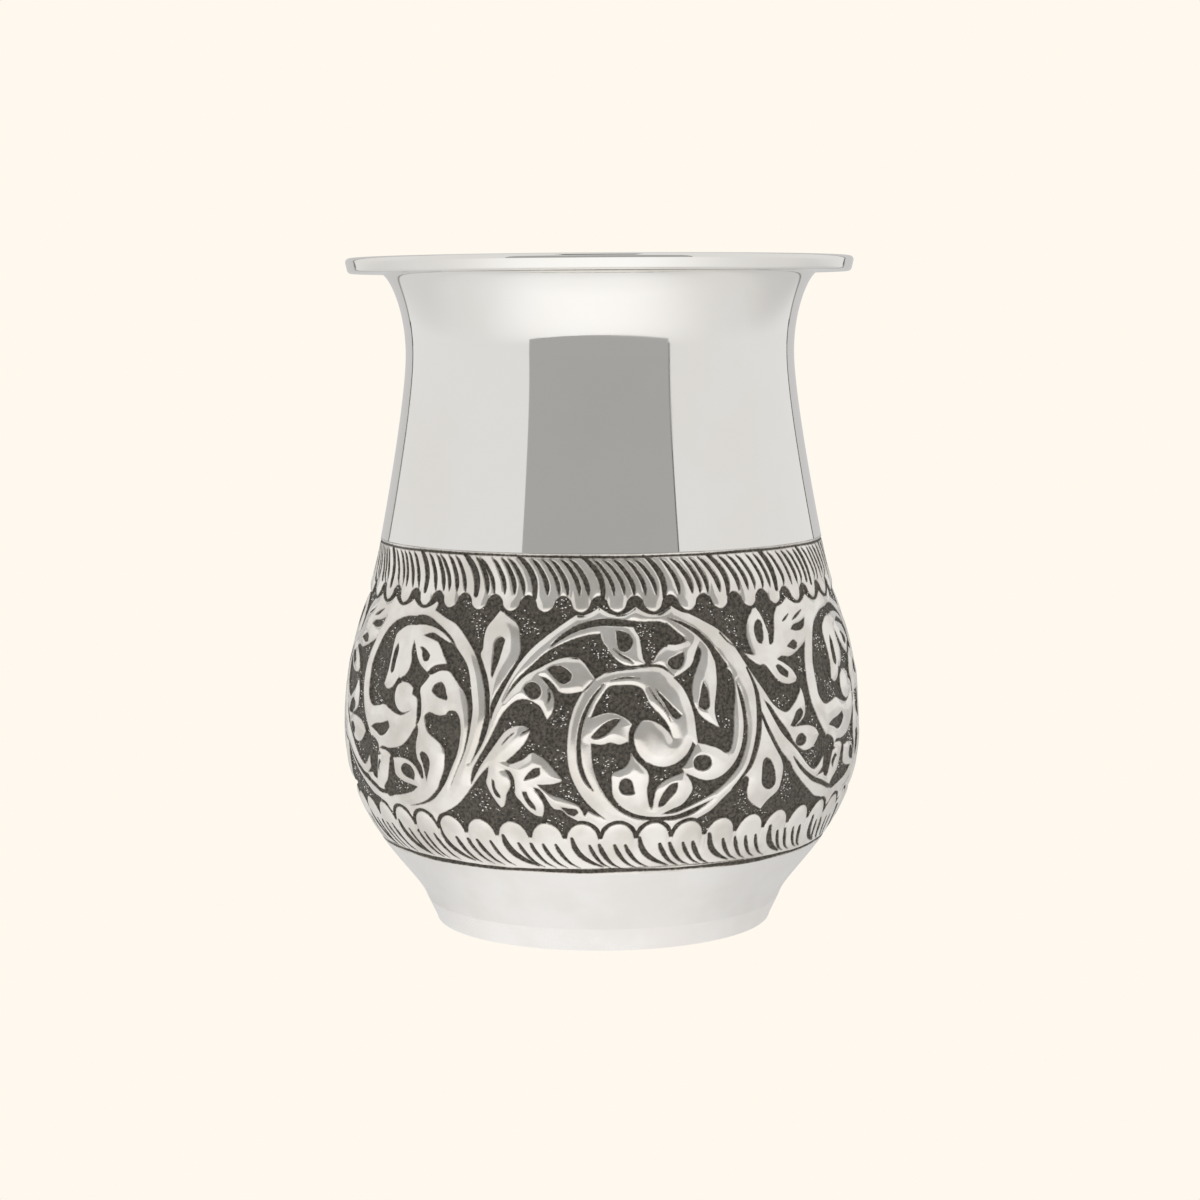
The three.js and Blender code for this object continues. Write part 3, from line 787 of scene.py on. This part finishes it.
# Raised silver against blackened hollows. The mesh carries the distance to the cut edges, in millimetres.
def makeChased():
    finish = chasedFinish
    material, tree, shader, spot = startMaterial("chasedSilver")
    marks = useGroup(tree, wipeMarks, spot, Fineness=finish["fineness"], Cloud_Size=finish["cloud"])
    grain = useGroup(tree, metalGrain, spot, Grain_Scale=finish["grain"], Mottle_Scale=finish["mottle"])
    reading = tree.nodes.new("ShaderNodeAttribute")
    reading.attribute_name = "cutEdge"
    ragged = combine(tree, "MULTIPLY_ADD", grain.outputs["Mottle"], finish["raggedness"],
                     reading.outputs["Fac"])
    bright = blendRange(tree, ragged, *finish["edgeRange"], 0.0, 1.0)
    silver = mixColour(tree, marks.outputs["Cloud"], finish["silver"], finish["silverTint"])
    # Near the cut edges the raised silver turns grey: patina from the hollows, and painted shade along the
    # edges.
    clearOfEdgePatinaAndShade = blendRange(tree, ragged, *finish["edgePatinaAndShadeRange"], 0.0, 1.0)
    silver = mixColour(tree, clearOfEdgePatinaAndShade, finish["edgePatinaAndShade"], silver)
    oxide = mixColour(tree, grain.outputs["Mottle"], finish["oxide"], finish["oxideLight"])
    tree.links.new(mixColour(tree, bright, oxide, silver), shader.inputs["Base Color"])
    metal = blendRange(tree, bright, 0.0, 1.0, finish["oxideMetal"], 1.0)
    tree.links.new(metal, shader.inputs["Metallic"])
    rough = blendRange(tree, bright, 0.0, 1.0, finish["oxideRough"], finish["silverRough"])
    tree.links.new(rough, shader.inputs["Roughness"])
    depth = blendRange(tree, bright, 0.0, 1.0, 1.0, finish["silverGrain"])
    addBump(tree, shader, combine(tree, "MULTIPLY", grain.outputs["Height"], depth), finish["grainDepth"])
    return material


polishedSilver = makeSilver("polishedSilver")
satinSilver = makeSilver("satinSilver")
paintedBrightFootSilver = makeSilver("paintedBrightFootSilver")
solderSilver = makeSilver("solderSilver")
chasedSilver = makeChased()
print("materials made")


# The neck is one sheet with its flange, wired bead and inside.
neck = {
    "sheet": 0.6,
    "lap": 3.0,
    "lapEvery": 8,
    "joggleSteps": 4,
    "curlFrom": 92,
    "curlTo": 205,
    "faceLean": 13,
    "faceCorner": 0.6,
}
lipSolder = {
    "reachIn": 0.5,
    "reachOut": 0.35,
    "fillet": ((0.02, 0.02), (-0.03, 0.28), (-0.2, 0.02)),
}
beadRadius = surface["beadDiameter"] / 2
gap = surface["solderGap"]
bowlInside = setBack(upperBelly, surface["bowlSheet"])
bowlEdgeInside = bowlInside[-1]
lapFootIndex = int(np.argmin(np.abs(np.linalg.norm(bowlInside - bowlEdgeInside, axis=1) - neck["lap"])))
lapInside = bowlInside[lapFootIndex::neck["lapEvery"]]
tonguePath = lapInside - gap * seamOut
tongueHead = bowlEdgeInside - gap * seamOut + gap * seamUp
neckEdge = seamPoint + gap * seamUp


# The bead round the wire: its outer face is flattened and leans out a little towards the top.
def beadOutline():
    lean, corner = neck["faceLean"], neck["faceCorner"]
    widest = beadCentre + at(beadRadius, 0)
    upper = at(widest[0] - corner, beadCentre[1] + beadRadius - corner)
    fall = 2 * (beadRadius - corner)
    lower = upper - at(fall * math.tan(math.radians(lean)), fall)
    return [*arc(lower, corner, -90, -lean, 12), *arc(upper, corner, -lean, 90, 14),
            *arc(beadCentre, beadRadius, neck["curlFrom"], neck["curlTo"], 20)]


def makeNeck():
    sheet = neck["sheet"]
    outside = [*tonguePath, tongueHead, neckEdge, *lowerNeck[0][1:], *flare[0][1:], *beadOutline()]
    neckInside = setBack(lowerNeck, sheet)[neck["joggleSteps"]:-1]
    inside = [*arc(beadCentre, beadRadius - sheet, neck["curlTo"], -90, 30), *setBack(flare, sheet)[::-1],
              *neckInside[::-1], tongueHead - sheet * seamOut, *(tonguePath - sheet * seamOut)[::-1]]
    mesh = turned("neck", outside + inside)
    place("neck", mesh, polishedSilver, "polished_silver", "neck_shell")


def makeLipSolder():
    flangeTop = flangePoint[1] + neck["sheet"]
    touch = beadCentre + beadRadius * along(neck["curlTo"])
    outline = [at(touch[0] - lipSolder["reachIn"], flangeTop),
               at(touch[0] + lipSolder["reachOut"], flangeTop),
               *(touch + at(*step) for step in lipSolder["fillet"])]
    mesh = turned("lip_solder", outline)
    place("lip_solder", mesh, polishedSilver, "silver_solder", "rim_edge_solder")


def makeSeamSolder():
    outline = [*lapInside, seamPoint, neckEdge, tongueHead, *tonguePath[::-1]]
    mesh = turned("seam_solder", outline)
    place("seam_solder", mesh, solderSilver, "silver_solder", "neck_seam_solder")


makeNeck()
makeLipSolder()
makeSeamSolder()
print("neck made")


# The plain lower bowl below the band, with its floor, and the foot ring.
bowl = {
    "bandFoot": 13.0,
    "wallEvery": 4,
    "floorRings": (0, 8, 18),
}
foot = {
    "sheet": 0.9,
    "turnIn": 2.1,
    "edgeRound": 0.6,
    "wallRadius": 25.4,
}
bandIndex = int(np.argmin(np.abs(lowerBelly[0][:, 1] - bowl["bandFoot"])))


def makeBowlBase():
    sheet, bend = surface["bowlSheet"], surface["baseLean"] - 90
    wall = [np.vstack([part[:bandIndex + 1:bowl["wallEvery"]], part[bandIndex]]) for part in lowerBelly]
    corner = arc(cornerCentre, surface["baseCorner"], -90, bend, 10)
    innerCorner = arc(cornerCentre, surface["baseCorner"] - sheet, -90, bend, 8)
    outside = [*(at(radius, floorHeight) for radius in bowl["floorRings"]), *corner, *wall[0][1:]]
    inside = [*(at(radius, floorHeight + sheet) for radius in bowl["floorRings"]), *innerCorner,
              *setBack(wall, sheet)[1:]]
    mesh = turned("bowl_base", outside + inside[::-1])
    place("bowl_base", mesh, satinSilver, "satin_silver", "belly_bowl")


def makeFoot():
    wallFoot = at(foot["wallRadius"], foot["edgeRound"])
    innerEdge = foot["wallRadius"] - foot["turnIn"]
    roundCentre = wallFoot - at(foot["edgeRound"], 0)
    outline = [at(innerEdge, 0), *arc(roundCentre, foot["edgeRound"], -90, 0, 10),
               at(footTopRadius, footTopHeight), at(footTopRadius - foot["sheet"], footTopHeight),
               at(foot["wallRadius"] - foot["sheet"], foot["sheet"]), at(innerEdge, foot["sheet"])]
    mesh = turned("foot_ring", outline)
    # The foot ring takes the silver painted brighter, a painted highlight.
    place("foot", mesh, paintedBrightFootSilver, "satin_silver", "foot_ring")


def makeFootSolder():
    corner = arc(cornerCentre, surface["baseCorner"], surface["baseLean"] - 90, -90, 10)
    outline = [at(footTopRadius - foot["sheet"], footTopHeight), at(footTopRadius, footTopHeight), *corner,
               at(footTopRadius - foot["sheet"], floorHeight)]
    mesh = turned("foot_solder", outline)
    place("foot_solder", mesh, satinSilver, "silver_solder", "foot_seam_solder")


makeBowlBase()
makeFoot()
makeFootSolder()
print("base and foot made")


# The chased band: real relief in six sectors, painted from the ornament above.
relief = {
    "sectors": 6,
    "columns": 228,
    "rows": 286,
    "groundDepth": 0.32,
    "groundSlope": 0.3,
    "dome": 0.3,
    "domeWidth": 1.4,
    "hollowDepth": 0.26,
    "hollowSlope": 0.22,
    "hollowRim": 0.05,
    "groundPunch": 0.05,
    "groundWave": 0.03,
    "handWave": 0.035,
    "waves": ((23, 0.41, 0.3), (37, -0.29, 1.7), (61, 0.63, 4.1), (89, -0.87, 2.6)),
    "waveSum": 2.4,
    "gritSeed": 11,
    "gritLimit": 1.6,
    "rimWidth": 0.25,
    "setDown": 0.01,
    "calmFoot": 0.5,
    "calmHead": 0.4,
    "innerStep": 6,
}


def smooth(value):
    value = np.clip(value, 0, 1)
    return value * value * (3 - 2 * value)


# The band's curve by arc length: point and outward direction at each height of the unrolled ornament.
bandPoints = np.vstack([lowerBelly[0][bandIndex:], upperBelly[0][1:]])
bandSlopes = np.vstack([lowerBelly[1][bandIndex:], upperBelly[1][1:]])
bandArc = np.concatenate([[0], np.cumsum(np.linalg.norm(np.diff(bandPoints, axis=0), axis=1))])
bandArc *= bandHeight / bandArc[-1]
rowHeights = np.linspace(0, bandHeight, relief["rows"])
rowPoints = np.column_stack([np.interp(rowHeights, bandArc, bandPoints[:, k]) for k in (0, 1)])
rowSlopes = np.column_stack([np.interp(rowHeights, bandArc, bandSlopes[:, k]) for k in (0, 1)])
rowSlopes /= np.linalg.norm(rowSlopes, axis=1)[:, None]
rowOut = np.column_stack([rowSlopes[:, 1], -rowSlopes[:, 0]])

totalColumns = relief["sectors"] * relief["columns"]
columnPlaces = np.arange(totalColumns) * bandLength / totalColumns
groundField, hollowField = paintBand(columnPlaces, rowHeights)
print("ornament painted")


# Height of the relief against the outer surface, which is its highest place.
def reliefHeight(ground, hollow):
    grit = np.random.default_rng(relief["gritSeed"]).normal(0, 1, ground.shape)
    limit = relief["gritLimit"]
    wave = np.zeros(ground.shape)
    for turns, climb, phase in relief["waves"]:
        wave += np.sin(2 * np.pi * turns * columnPlaces[None, :] / bandLength
                       + climb * rowHeights[:, None] + phase) / relief["waveSum"]
    dome = relief["dome"] * (1 - np.clip(ground / relief["domeWidth"], 0, 1)) ** 2
    sunk = smooth(-ground / relief["groundSlope"])
    height = -dome - relief["groundDepth"] * sunk
    punched = relief["groundPunch"] * np.clip(grit, -limit, limit) / limit
    height += sunk * (relief["groundWave"] * wave + punched)
    cutDown = smooth(-hollow / relief["hollowSlope"])
    rim = np.exp(-np.maximum(hollow, 0) / relief["rimWidth"])
    height -= (1 - sunk) * (relief["hollowDepth"] * cutDown + relief["hollowRim"] * rim)
    height -= relief["handWave"] * (0.5 + 0.5 * wave) * (1 - sunk)
    return height - relief["setDown"]


# The relief calms down to the outer surface at the band's foot and head.
calm = smooth(rowHeights / relief["calmFoot"]) * smooth((bandHeight - rowHeights) / relief["calmHead"])
heights = reliefHeight(groundField, hollowField) * calm[:, None]
edgeField = np.minimum(groundField, hollowField)


def bandVertex(row, column, offset):
    angle = 2 * math.pi * (column % totalColumns) / totalColumns
    radius, height = rowPoints[row] + rowOut[row] * offset
    return (radius * math.sin(angle) * mm, -radius * math.cos(angle) * mm, height * mm)


def makeSector(index):
    first = index * relief["columns"]
    columns = relief["columns"] + 1
    rows = relief["rows"]
    innerColumns = list(range(0, columns, relief["innerStep"]))
    last = len(innerColumns) - 1
    vertices = [bandVertex(r, first + c, heights[r, (first + c) % totalColumns])
                for r in range(rows) for c in range(columns)]
    cutEdges = [edgeField[r, (first + c) % totalColumns] for r in range(rows) for c in range(columns)]
    innerStart = len(vertices)
    vertices += [bandVertex(r, first + c, -surface["bowlSheet"]) for r in range(rows) for c in innerColumns]
    cutEdges += [1.0] * (len(vertices) - innerStart)

    def outer(row, column):
        return row * columns + column

    def inner(row, k):
        return innerStart + row * len(innerColumns) + k

    faces = [(outer(r, c), outer(r, c + 1), outer(r + 1, c + 1), outer(r + 1, c))
             for r in range(rows - 1) for c in range(columns - 1)]
    faces += [(inner(r, k), inner(r + 1, k), inner(r + 1, k + 1), inner(r, k + 1))
              for r in range(rows - 1) for k in range(last)]
    for r in range(rows - 1):
        faces.append((outer(r, 0), outer(r + 1, 0), inner(r + 1, 0), inner(r, 0)))
        faces.append((outer(r, columns - 1), inner(r, last), inner(r + 1, last), outer(r + 1, columns - 1)))
    for k in range(last):
        dense = range(innerColumns[k], innerColumns[k + 1] + 1)
        faces.append((inner(0, k), inner(0, k + 1), *(outer(0, c) for c in reversed(dense))))
        faces.append((inner(rows - 1, k + 1), inner(rows - 1, k), *(outer(rows - 1, c) for c in dense)))
    mesh = meshFrom("chased_band_%d" % (index + 1), vertices, faces)
    mesh.attributes.new("cutEdge", "FLOAT", "POINT").data.foreach_set("value", cutEdges)

    # Sharp edges along the border keep the sector's narrow sides out of the shading of its face.
    onBorder = np.zeros(len(vertices), dtype=bool)
    for r in range(rows):
        onBorder[[outer(r, 0), outer(r, columns - 1), inner(r, 0), inner(r, last)]] = True
    for c in range(columns):
        onBorder[[outer(0, c), outer(rows - 1, c)]] = True
    for k in range(len(innerColumns)):
        onBorder[[inner(0, k), inner(rows - 1, k)]] = True
    ends = np.empty(len(mesh.edges) * 2, dtype=np.int32)
    mesh.edges.foreach_get("vertices", ends)
    sharp = mesh.attributes.get("sharp_edge") or mesh.attributes.new("sharp_edge", "BOOLEAN", "EDGE")
    sharp.data.foreach_set("value", onBorder[ends.reshape(-1, 2)].all(axis=1))
    place(mesh.name, mesh, chasedSilver, "chased_silver", "belly_bowl")


for sectorIndex in range(relief["sectors"]):
    makeSector(sectorIndex)
print("band made")


# Bright burrs that the punch has raised on the dark ground.
burrs = {
    "perSquareMetre": 3.4e6,
    "radius": 0.11,
    "leastSize": (0.4, 0.4, 0.5),
    "greatestSize": (1.9, 1.3, 1.1),
    "patchSize": 9.0,
    "patchShare": 0.1,
    "seed": 7,
    "everyRow": 2,
}


# A copy of the sunken ground, which says by its attribute how thickly the burrs lie.
def makeGroundSheet():
    step = burrs["everyRow"]
    rowList = list(range(0, relief["rows"], step))
    columnList = list(range(0, totalColumns, step))
    vertices = [bandVertex(r, c, heights[r, c]) for r in rowList for c in columnList]
    wide = len(columnList)
    faces = [(k * wide + i, k * wide + (i + 1) % wide, (k + 1) * wide + (i + 1) % wide, (k + 1) * wide + i)
             for k in range(len(rowList) - 1) for i in range(wide)]
    mesh = meshFrom("groundSheet", vertices, faces)
    x, y = np.meshgrid(columnPlaces[columnList], rowHeights[rowList])
    turn = 2 * np.pi * x / bandLength
    size = burrs["patchSize"]
    patches = (np.sin(round(bandLength / size) * turn + 0.9 * y / size * 6) * np.sin(11 * turn - y * 0.55 + 1)
               + 0.6 * np.sin(31 * turn + y * 0.8))
    ground = groundField[np.ix_(rowList, columnList)]
    thick = smooth((-ground - 0.2) / 0.2) * np.clip((patches - burrs["patchShare"]) / 0.5, 0, 1)
    mesh.attributes.new("thick", "FLOAT", "POINT").data.foreach_set("value", thick.ravel())
    return mesh


def makeBurrTree():
    tree = bpy.data.node_groups.new("punchBurrs", "GeometryNodeTree")
    tree.interface.new_socket(name="Geometry", in_out="INPUT", socket_type="NodeSocketGeometry")
    tree.interface.new_socket(name="Density", in_out="INPUT", socket_type="NodeSocketFloat")
    tree.interface.new_socket(name="Radius", in_out="INPUT", socket_type="NodeSocketFloat")
    tree.interface.new_socket(name="Seed", in_out="INPUT", socket_type="NodeSocketInt")
    tree.interface.new_socket(name="Geometry", in_out="OUTPUT", socket_type="NodeSocketGeometry")
    add, join = tree.nodes.new, tree.links.new
    given, made = add("NodeGroupInput"), add("NodeGroupOutput")
    thick = add("GeometryNodeInputNamedAttribute")
    thick.data_type = "FLOAT"
    thick.inputs["Name"].default_value = "thick"
    dense = add("ShaderNodeMath")
    dense.operation = "MULTIPLY"
    join(given.outputs["Density"], dense.inputs[0])
    join(thick.outputs["Attribute"], dense.inputs[1])
    scatter = add("GeometryNodeDistributePointsOnFaces")
    join(given.outputs["Geometry"], scatter.inputs["Mesh"])
    join(dense.outputs[0], scatter.inputs["Density"])
    join(given.outputs["Seed"], scatter.inputs["Seed"])
    burr = add("GeometryNodeMeshIcoSphere")
    burr.inputs["Subdivisions"].default_value = 1
    join(given.outputs["Radius"], burr.inputs["Radius"])
    size = add("FunctionNodeRandomValue")
    size.data_type = "FLOAT_VECTOR"
    size.inputs["Min"].default_value = burrs["leastSize"]
    size.inputs["Max"].default_value = burrs["greatestSize"]
    join(given.outputs["Seed"], size.inputs["Seed"])
    copies = add("GeometryNodeInstanceOnPoints")
    join(scatter.outputs["Points"], copies.inputs["Points"])
    join(scatter.outputs["Rotation"], copies.inputs["Rotation"])
    join(burr.outputs["Mesh"], copies.inputs["Instance"])
    join(size.outputs["Value"], copies.inputs["Scale"])
    solid = add("GeometryNodeRealizeInstances")
    join(copies.outputs["Instances"], solid.inputs["Geometry"])
    painted = add("GeometryNodeSetMaterial")
    # The burrs take the foot's silver, painted brighter than the satin silver.
    painted.inputs["Material"].default_value = paintedBrightFootSilver
    join(solid.outputs["Geometry"], painted.inputs["Geometry"])
    join(painted.outputs["Geometry"], made.inputs["Geometry"])
    return tree


def makeBurrs():
    carrier = bpy.data.objects.new("groundSheet", makeGroundSheet())
    bpy.context.scene.collection.objects.link(carrier)
    tree = makeBurrTree()
    modifier = carrier.modifiers.new("punchBurrs", "NODES")
    modifier.node_group = tree
    values = {"Density": burrs["perSquareMetre"], "Radius": burrs["radius"] * mm, "Seed": burrs["seed"]}
    for socket in tree.interface.items_tree:
        if socket.in_out == "INPUT" and socket.name in values:
            modifier[socket.identifier] = values[socket.name]
    bpy.context.view_layer.update()
    shaped = carrier.evaluated_get(bpy.context.evaluated_depsgraph_get())
    mesh = bpy.data.meshes.new_from_object(shaped)
    mesh.name = "punch_burrs"
    carrier.modifiers.clear()
    bpy.data.objects.remove(carrier)
    place("punch_burrs", mesh, None, "chased_silver")


makeBurrs()
print("burrs made")


# The studio: a lit room, a floor that gives its own light, and cards that only the pot sees.
studio = {
    "cream": (1.0, 0.939, 0.855),
    "roomLight": 0.795,
    "cameraPlace": (0.0, -0.4066, 0.0923),
    "cameraPitch": 6.19,
    "cameraRoll": -0.36,
    "cameraLens": 81,
    "cameraShift": -0.0012,
}
# The floor's glow is worked out from the distance to the axis, in metres, and the bearing, in degrees.
floorGlow = {
    "reach": 2.4,
    "drop": 0.00005,
    "spokes": 180,
    "rings": 60,
    # Near the pot the floor's light is lower than the room's, a painted shadow of the pot.
    "light": 0.7,
    "fade": (0.2, 0.7),
    "side": {"light": 0.065, "rise": (0.05, 0.04), "fade": (85, 30)},
    "front": {"light": 0.31, "rise": (0.055, 0.09), "bearing": -5, "spread": 53, "power": 3},
    "near": {"light": 0.21, "fade": (0.03, 0.11), "bearing": -10, "spread": 54, "power": 4},
    "right": {"shade": 0.09, "fade": (0.25, 0.4), "bearing": 135, "spread": 36, "power": 2},
    "back": {"light": 0.6, "bearing": 143.9, "lineLight": 0.2, "lineWidth": 2.1},
}
# Upright cards: distance, bearing, half width, foot, head and light.
cards = {
    "cameraCard": (0.437, -0.6, 0.362, 0.0005, 0.48, 0.412),
    "backCard": (0.9, 180, 0.66, 0.002, 1.2, 0.6),
    "leftStrip": (0.88, 143, 0.012, 0.002, 1.2, 0.12),
    "rightStrip": (0.88, 217, 0.012, 0.002, 1.2, 0.05),
    "cardEdge": (0.71, 39.5, 0.006, 0.0005, 0.62, 0.17),
}
topCard = {
    "corners": [(-0.13, -0.34, 0.62), (0.13, -0.34, 0.62), (0.13, -0.1, 0.72), (-0.13, -0.1, 0.72)],
    "light": 0.04,
}


# The camera sees the cream of the backdrop, and the pot sees the light that is given.
def splitLight(tree, lightNode, outputNode, given):
    tree.nodes.clear()
    path = tree.nodes.new("ShaderNodeLightPath")
    mix = tree.nodes.new("ShaderNodeMixShader")
    made = tree.nodes.new(outputNode)
    for index, colour in ((1, (given,) * 3), (2, studio["cream"])):
        light = tree.nodes.new(lightNode)
        light.inputs["Color"].default_value = (*colour, 1)
        tree.links.new(light.outputs[0], mix.inputs[index])
    tree.links.new(path.outputs["Is Camera Ray"], mix.inputs[0])
    tree.links.new(mix.outputs[0], made.inputs["Surface"])


def makeStageMaterial(name, given):
    material = bpy.data.materials.new(name)
    material.use_nodes = True
    splitLight(material.node_tree, "ShaderNodeEmission", "ShaderNodeOutputMaterial", given)
    return material


def makeWorld():
    world = bpy.data.worlds.new("studio")
    bpy.context.scene.world = world
    world.use_nodes = True
    splitLight(world.node_tree, "ShaderNodeBackground", "ShaderNodeOutputWorld", studio["roomLight"])


def makePanel(name, corners, light):
    mesh = bpy.data.meshes.new(name)
    mesh.from_pydata(corners, [], [tuple(range(len(corners)))])
    panel = bpy.data.objects.new(name, mesh)
    bpy.context.scene.collection.objects.link(panel)
    mesh.materials.append(makeStageMaterial(name, light))
    panel.visible_camera = False
    panel.visible_shadow = False


def uprightPanel(name, distance, bearing, halfWidth, low, high, light):
    turn = math.radians(bearing)
    middle = Vector((math.sin(turn), -math.cos(turn), 0)) * distance
    side = Vector((math.cos(turn), math.sin(turn), 0)) * halfWidth
    corners = [middle + side * way + Vector((0, 0, height))
               for way, height in ((-1, low), (1, low), (1, high), (-1, high))]
    makePanel(name, corners, light)


# Lets a camera under the floor see the pot's foot through it.
def clearFromBelow(tree):
    side = tree.nodes.new("ShaderNodeNewGeometry")
    clear = tree.nodes.new("ShaderNodeBsdfTransparent")
    mix = tree.nodes.new("ShaderNodeMixShader")
    made = tree.nodes["Material Output"]
    tree.links.new(side.outputs["Backfacing"], mix.inputs[0])
    tree.links.new(made.inputs["Surface"].links[0].from_socket, mix.inputs[1])
    tree.links.new(clear.outputs[0], mix.inputs[2])
    tree.links.new(mix.outputs[0], made.inputs["Surface"])


# Goes from 0 to 1 between a start and a width beyond it.
def rise(value, start, width):
    return np.clip((value - start) / width, 0, 1)


# A patch of light or shade that is centred on its bearing; the greater the power, the flatter its middle.
def patchOf(part, angle):
    return np.exp(-np.abs((angle - part["bearing"]) / part["spread"]) ** part["power"])


# A broad glow in front of the pot, dimmer behind it past two dark lines. Near the pot the floor is dimmer
# than the room, a painted shadow of the pot.
def floorBrightness(angle, distance):
    side, front, near = floorGlow["side"], floorGlow["front"], floorGlow["near"]
    right, back = floorGlow["right"], floorGlow["back"]
    close = 1 - smooth(rise(distance, *floorGlow["fade"]))
    glow = studio["roomLight"] + (floorGlow["light"] - studio["roomLight"]) * close
    sideways = 1 - smooth(rise(np.abs(angle), *side["fade"]))
    glow += side["light"] * smooth(rise(distance, *side["rise"])) * close * sideways
    glow += front["light"] * (rise(distance, *front["rise"]) * close) * patchOf(front, angle)
    glow += near["light"] * (1 - rise(distance, *near["fade"])) * patchOf(near, angle)
    glow -= right["shade"] * (1 - smooth(rise(distance, *right["fade"]))) * patchOf(right, angle)
    behind = np.abs(angle) > back["bearing"]
    glow = np.where(behind, back["light"], glow)
    onLine = behind & (np.abs(angle) < back["bearing"] + back["lineWidth"])
    return np.where(onLine, back["lineLight"], glow)


def makeFloor():
    spokes, rings = floorGlow["spokes"], floorGlow["rings"]
    turn = np.linspace(-np.pi, np.pi, spokes, endpoint=False)
    reach = floorGlow["reach"] * np.linspace(0.01, 1, rings) ** 2
    corners = [(r * math.sin(a), -r * math.cos(a), -floorGlow["drop"]) for r in reach for a in turn]
    faces = []
    for k in range(rings - 1):
        near, far = k * spokes, (k + 1) * spokes
        for i in range(spokes):
            j = (i + 1) % spokes
            faces.append((near + i, far + i, far + j, near + j))
    faces.append(tuple(range(spokes)))
    mesh = meshFrom("floor", corners, faces)
    glow = floorBrightness(*np.meshgrid(np.degrees(turn), reach))
    mesh.attributes.new("glow", "FLOAT", "POINT").data.foreach_set("value", glow.ravel())
    floor = bpy.data.objects.new("floor", mesh)
    bpy.context.scene.collection.objects.link(floor)
    material = makeStageMaterial("floor", 1.0)
    tree = material.node_tree
    reading = tree.nodes.new("ShaderNodeAttribute")
    reading.attribute_name = "glow"
    tree.links.new(reading.outputs["Fac"], tree.nodes["Emission"].inputs["Strength"])
    clearFromBelow(tree)
    mesh.materials.append(material)


makeWorld()
makeFloor()
for cardName, sizes in cards.items():
    uprightPanel(cardName, *sizes)
makePanel("topCard", topCard["corners"], topCard["light"])

camera = bpy.data.cameras.new("camera")
camera.lens = studio["cameraLens"]
camera.sensor_width = 36
camera.shift_x = studio["cameraShift"]
viewer = bpy.data.objects.new("camera", camera)
bpy.context.scene.collection.objects.link(viewer)
viewer.rotation_mode = "QUATERNION"
viewer.location = studio["cameraPlace"]
aim = Matrix.Rotation(math.radians(90 - studio["cameraPitch"]), 3, "X")
roll = Matrix.Rotation(math.radians(studio["cameraRoll"]), 3, "Z")
viewer.rotation_quaternion = (aim @ roll).to_quaternion()
bpy.context.scene.camera = viewer
bpy.context.scene.view_settings.view_transform = "Standard"
bpy.context.scene.view_settings.look = "None"
print("studio made")

# The wire inside the bead shows nowhere, and keeps its place with the solder's finish.
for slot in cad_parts["rim_wire"].material_slots:
    slot.material = solderSilver
